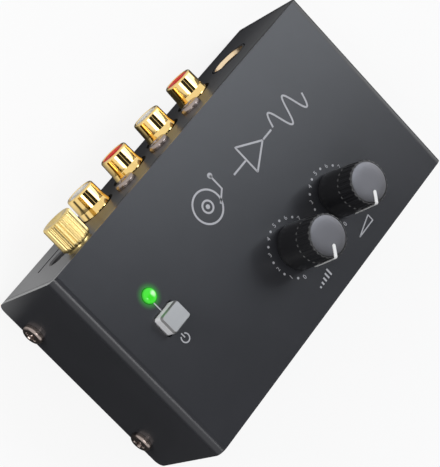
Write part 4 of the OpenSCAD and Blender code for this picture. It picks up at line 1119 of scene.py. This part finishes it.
def edges_of(corners, step=0.2):
    """Points every step mm along a closed outline, read off its corners by length."""
    corners = np.asarray(corners + corners[:1], float)
    length = np.concatenate([[0], np.cumsum(np.linalg.norm(np.diff(corners, axis=0), axis=1))])
    walk = np.arange(0, length[-1], step)
    return np.stack([np.interp(walk, length, corners[:, i]) for i in (0, 1)], 1)


def on_top(grid, x=0.0, y=0.0):
    """Places a flat mark on the top of the case, from the case's middle, in mm."""
    return stand(grid, (case_middle.x + x * MM, case_middle.y + y * MM, cover_high.z))


def circle(radius, start=0.0, end=360.0, count=48):
    """Points of a circle or an arc, in degrees."""
    turn = np.radians(np.linspace(start, end, count, endpoint=abs(end - start) < 360))
    return np.stack([radius * np.cos(turn), radius * np.sin(turn)], 1)


def dot(radius):
    """A round spot of ink: a low turned disc with a soft edge."""
    return turned(profile((radius * 0.2, 0), (radius, 0), (radius, INK * 0.6), (radius * 0.9, INK),
                          (radius * 0.2, INK)), 24)


def print_marks(name, shells, ring=False):
    """A set of marks as one piece of ink on the case."""
    return make_piece(name, shells, "case", "pointer_white", ring=ring)

# %% Dial numbers
DIAL_R = 7.72
DIAL_STEP = 30.23
DIGIT_HEIGHT = 1.62


def text_mesh(body, height):
    """Mesh of a short text in the built-in font, from its middle, as a solid of INK thickness."""
    curve = bpy.data.curves.new("number", "FONT")
    curve.body = body
    curve.size = height * MM
    curve.extrude = INK / 2 * MM
    curve.align_x, curve.align_y = "CENTER", "CENTER"
    holder = bpy.data.objects.new("number", curve)
    bpy.context.scene.collection.objects.link(holder)
    bpy.context.view_layer.update()
    mesh = bpy.data.meshes.new_from_object(holder.evaluated_get(bpy.context.evaluated_depsgraph_get()))
    bpy.data.objects.remove(holder)
    return mesh


def on_dial(control, number):
    """Place of a number on a control's dial, from the case's middle in mm, clockwise from zero."""
    x, y, _ = (middle_of(control + "_knob") - case_middle) / MM
    turn = DIAL_ZERO - math.radians(DIAL_STEP * number)
    return x + DIAL_R * math.cos(turn), y + DIAL_R * math.sin(turn)


def dial_numbers(name, control):
    """The numbers 0 to 10 round one dial, all upright."""
    whole = bmesh.new()
    for number in range(11):
        mesh = text_mesh(str(number), DIGIT_HEIGHT)
        mesh.transform(Matrix.Translation(spot(*on_dial(control, number), case_h + INK / 2)))
        whole.from_mesh(mesh)
    bmesh.ops.remove_doubles(whole, verts=whole.verts, dist=1e-7)
    mesh = bpy.data.meshes.new(name)
    whole.to_mesh(mesh)
    whole.free()
    return finish_piece(name, mesh, "case", "pointer_white")


# %% Dial dots
DOT_R = 0.33


def dial_dots(name, control):
    """A dot at each half step of one dial."""
    halves = np.arange(10) + 0.5
    return print_marks(name, [on_top(dot(DOT_R), *on_dial(control, half)) for half in halves])


ink_pieces = []
for control in CONTROLS:
    ink_pieces += [dial_numbers(control + "_numbers", control), dial_dots(control + "_dots", control)]

# %% Signs for the controls
LINE = 0.32
SIGN_DROP = 12.0
BAR_PITCH = 1.2
WEDGE = [(-3.2, 0), (3.2, 0), (3.2, 1.9)]


def seen_from_case(node):
    """Foot of a node from the case's middle, as x and y in mm."""
    return ((foot_of(node) - case_middle) / MM).xy


level, volume, cap, lamp = (
    seen_from_case(node) for node in ("level_knob", "volume_knob", "power_cap", "pilot_lamp")
)
bars = [
    on_top(ribbon([(0, 0), (0, 0.5 + 0.38 * k)], 0.5), level.x + BAR_PITCH * (k - 2), level.y - SIGN_DROP)
    for k in range(5)
]
wedge = ribbon(edges_of(WEDGE), LINE, closed=True)
power_sign = [ribbon(circle(1.15, 125, 415, 40), 0.34), ribbon([(0, 0.15), (0, 1.5)], 0.34)]
lamp_link = ribbon([(lamp.x - 0.4, lamp.y - 1.9), (lamp.x - 0.4, cap.y + 2.6)], 0.3)
ink_pieces += [
    print_marks("level_sign", bars),
    print_marks("volume_sign", [on_top(wedge, volume.x, volume.y - SIGN_DROP)], ring=True),
    print_marks("power_sign", [on_top(mark, cap.x - 0.6, cap.y - 5.9) for mark in power_sign]),
    print_marks("lamp_link", [on_top(lamp_link)]),
]

# %% [markdown]
# ## A picture of what the box does
# The middle of the panel carries a plain row of signs instead of words: a record under its arm, the
# triangle that stands for an amplifier, and a wave. Lines are strips carried along a path, so a
# circle, a triangle and a wave differ only in the path.

# %% Signal path signs
PATH_Y = 11.9
STROKE = 0.5
WAVE_LENGTH = 13.5
WAVE_RISE = 3.4
record_x, pivot_x, amplifier_x, wave_x = -9.0, -2.6, 8.2, 20.5
pivot_y = PATH_Y + 4.6

closed_paths = [
    circle(4.3, count=72) + (record_x, PATH_Y),
    circle(1.55, count=40) + (record_x, PATH_Y),
    edges_of([(amplifier_x, PATH_Y - 4.2), (amplifier_x + 7.4, PATH_Y), (amplifier_x, PATH_Y + 4.2)]),
]
wave = np.linspace(0, WAVE_LENGTH, 120)
open_paths = [
    [(pivot_x, pivot_y), (pivot_x, PATH_Y + 0.2), (record_x + 3.2, PATH_Y - 2.0)],
    [(amplifier_x - 5.6, PATH_Y), (amplifier_x - 0.3, PATH_Y)],
    [(amplifier_x + 7.7, PATH_Y), (wave_x - 0.9, PATH_Y)],
    np.stack([wave_x + wave, PATH_Y + WAVE_RISE * np.sin(wave / WAVE_LENGTH * 4 * np.pi)], 1),
]
outlines = [on_top(ribbon(path, STROKE, closed=True)) for path in closed_paths]
lines = [on_top(ribbon(path, STROKE)) for path in open_paths]
spots = [on_top(dot(0.6), record_x, PATH_Y), on_top(dot(0.75), pivot_x, pivot_y)]
ink_pieces += [print_marks("path_outlines", outlines, ring=True), print_marks("path_lines", lines + spots)]

# %% Ink for every mark
for piece in ink_pieces:
    piece.data.materials[0] = finishes["ink_grey"]
print("printed pieces:", len(ink_pieces))

# %% [markdown]
# ## Floor and light
# A small glossy product is lit with a few soft panels, and what it mirrors matters as much as what
# falls on it. The floor is pale, with a share of its own glow for the camera and for reflections,
# so it reads as white and still takes the object's shadow. In reflections that glow is laid out in
# patches of painted light and shade round the object, and every ray but the camera's sees a dark
# paint, which is painted shade. The world gives a plain even light. For mirrored rays the room is
# white low down and dark overhead, as a studio is above its lamps: that is what draws the black
# bands on polished gold and keeps a dark top from looking washed out.

# %% Rays that see the background
def seen_by(tree, *kinds):
    """1 for the kinds of ray that are named, else 0."""
    paths = add(tree, "ShaderNodeLightPath").outputs
    total = paths[kinds[0]]
    for kind in kinds[1:]:
        total = calculate(tree, "ADD", total, paths[kind], clamp=True)
    return total


# %% The floor
FLOOR_HALF = 2.0
floor_mesh = bpy.data.meshes.new("floor")
signs = [(-1, -1), (1, -1), (1, 1), (-1, 1)]
floor_mesh.from_pydata([(i * FLOOR_HALF, j * FLOOR_HALF, 0) for i, j in signs], [], [(0, 1, 2, 3)])
floor = bpy.data.objects.new("floor", floor_mesh)
bpy.context.scene.collection.objects.link(floor)


def floor_glow(tree):
    """How much the floor glows in a mirror, as painted light and shade: full far away, none near the
    object as painted shade, but full again just behind it, past its tips, and under its left rear
    corner as painted pools of light. The far right side stays dim, as painted shade."""
    place = place_on(tree)
    x, y, _ = axes_of(tree, place)
    reach = vector_result(tree, "LENGTH", place)
    far = calculate(tree, "MULTIPLY", slope(tree, reach, 0.10, 0.25), slope(tree, x, 0.05, 0.16, 1.0, 0.12))
    behind = slope(tree, y, 0.034, 0.045, 0.0, 0.75)
    corner = calculate(tree, "MULTIPLY", slope(tree, x, -0.008, -0.040), slope(tree, y, 0.018, 0.027))
    corner = calculate(tree, "MULTIPLY", corner, slope(tree, x, -0.072, -0.056))
    return calculate(tree, "MAXIMUM", calculate(tree, "MAXIMUM", far, behind), corner)


# %% Paint of the floor
def make_floor_paint(seen_glow):
    """Pale diffuse paint, painted dark as shade for every ray but the camera's. Share of white glow =
    seen_glow for the camera, and the patches of painted light and shade in a mirror."""
    material = bpy.data.materials.new("floor_paint")
    material.use_nodes = True
    tree = material.node_tree
    tree.nodes.remove(tree.nodes["Principled BSDF"])
    seen = calculate(tree, "MULTIPLY", seen_by(tree, "Is Camera Ray", "Is Transmission Ray"), seen_glow)
    # In a mirror the floor's glow is painted light and shade, in patches round the object.
    mirrored = calculate(tree, "MULTIPLY", floor_glow(tree), seen_by(tree, "Is Glossy Ray"))
    # The dark tone for every ray but the camera's is painted shade.
    tone = mixed(tree, seen_by(tree, "Is Camera Ray"), grey(0.09), grey(0.90))
    layers = (calculate(tree, "ADD", seen, mirrored, clamp=True),
              add(tree, "ShaderNodeBsdfDiffuse", Color=tone).outputs[0],
              add(tree, "ShaderNodeEmission", Color=grey(1.0), Strength=1.0).outputs[0])
    blend = add(tree, "ShaderNodeMixShader")
    for layer, target in zip(layers, blend.inputs):
        feed(tree, layer, target)
    feed(tree, blend.outputs[0], tree.nodes["Material Output"].inputs["Surface"])
    return material


floor_mesh.materials.append(make_floor_paint(0.86))
print("floor", 2 * FLOOR_HALF, "m square")


# %% The world
DARK_ACROSS = (-0.42, 0.88)
DARK_ALONG = (-1.3, 0.08)
SLIT_HALF = 0.02
HORIZON = 0.05


def between(tree, value, low, high, soft):
    """1 where low < value < high, falling to 0 over soft at each end."""
    return calculate(tree, "MULTIPLY", slope(tree, value, low - soft, low),
                     slope(tree, value, high + soft, high))


def overhead_dark(tree):
    """1 in the dark patch overhead: x/z in DARK_ACROSS and y/z in DARK_ALONG, less a slit at x = 0."""
    x, y, z = axes_of(tree, add(tree, "ShaderNodeTexCoord").outputs["Generated"])
    up = calculate(tree, "MAXIMUM", z, HORIZON)
    across, along = calculate(tree, "DIVIDE", x, up), calculate(tree, "DIVIDE", y, up)
    dark = calculate(tree, "MULTIPLY", between(tree, across, *DARK_ACROSS, 0.06),
                     between(tree, along, *DARK_ALONG, 0.1))
    slit = between(tree, across, -SLIT_HALF, SLIT_HALF, 0.01)
    return calculate(tree, "SUBTRACT", dark, slit, clamp=True)


def make_world(level, overhead):
    """Even light of one level. Mirrored rays see white, and the level overhead in the dark patch."""
    world = bpy.data.worlds.new("studio")
    world.use_nodes = True
    tree = world.node_tree
    background = tree.nodes["Background"].inputs
    mirrored = slope(tree, overhead_dark(tree), 0.0, 1.0, 1.0, overhead)
    strength = slope(tree, seen_by(tree, "Is Glossy Ray"), 0.0, 1.0, level, mirrored)
    seen = seen_by(tree, "Is Camera Ray", "Is Transmission Ray")
    feed(tree, grey(1.0), background["Color"])
    feed(tree, slope(tree, seen, 0.0, 1.0, strength, 1.0), background["Strength"])
    bpy.context.scene.world = world


make_world(0.42, 0.03)
bpy.context.scene.view_settings.view_transform = "Standard"
print("world:", bpy.context.scene.world.name)


# %% The light panels
AIM = spot(0, 0, 20)


def light_panel(name, place, width, height, power, colour=(1.0, 1.0, 1.0), mirrored=True):
    """Rectangular soft light at a place in metres, turned to face AIM."""
    data = bpy.data.lights.new(name, "AREA")
    data.shape = "RECTANGLE"
    data.size = width
    data.size_y = height
    data.energy = power
    data.color = colour
    panel = bpy.data.objects.new(name, data)
    bpy.context.scene.collection.objects.link(panel)
    panel.location = place
    panel.rotation_mode = "QUATERNION"
    panel.rotation_quaternion = (AIM - place).to_track_quat("-Z", "Y")
    panel.visible_camera = False
    panel.visible_glossy = mirrored


light_panel("key_panel", spot(501, -25, 760), 0.312, 0.312, 1.45, colour=(0.86, 0.92, 1.0))
light_panel("east_panel", spot(800, -120, 430), 0.30, 0.72, 1.1)
light_panel("rear_panel", spot(-380, 560, 260), 0.45, 0.45, 2.2, mirrored=False)
light_panel("west_panel", spot(-500, -120, 750), 0.30, 0.27, 1.3)
print("lights:", [lamp.name for lamp in bpy.data.lights])
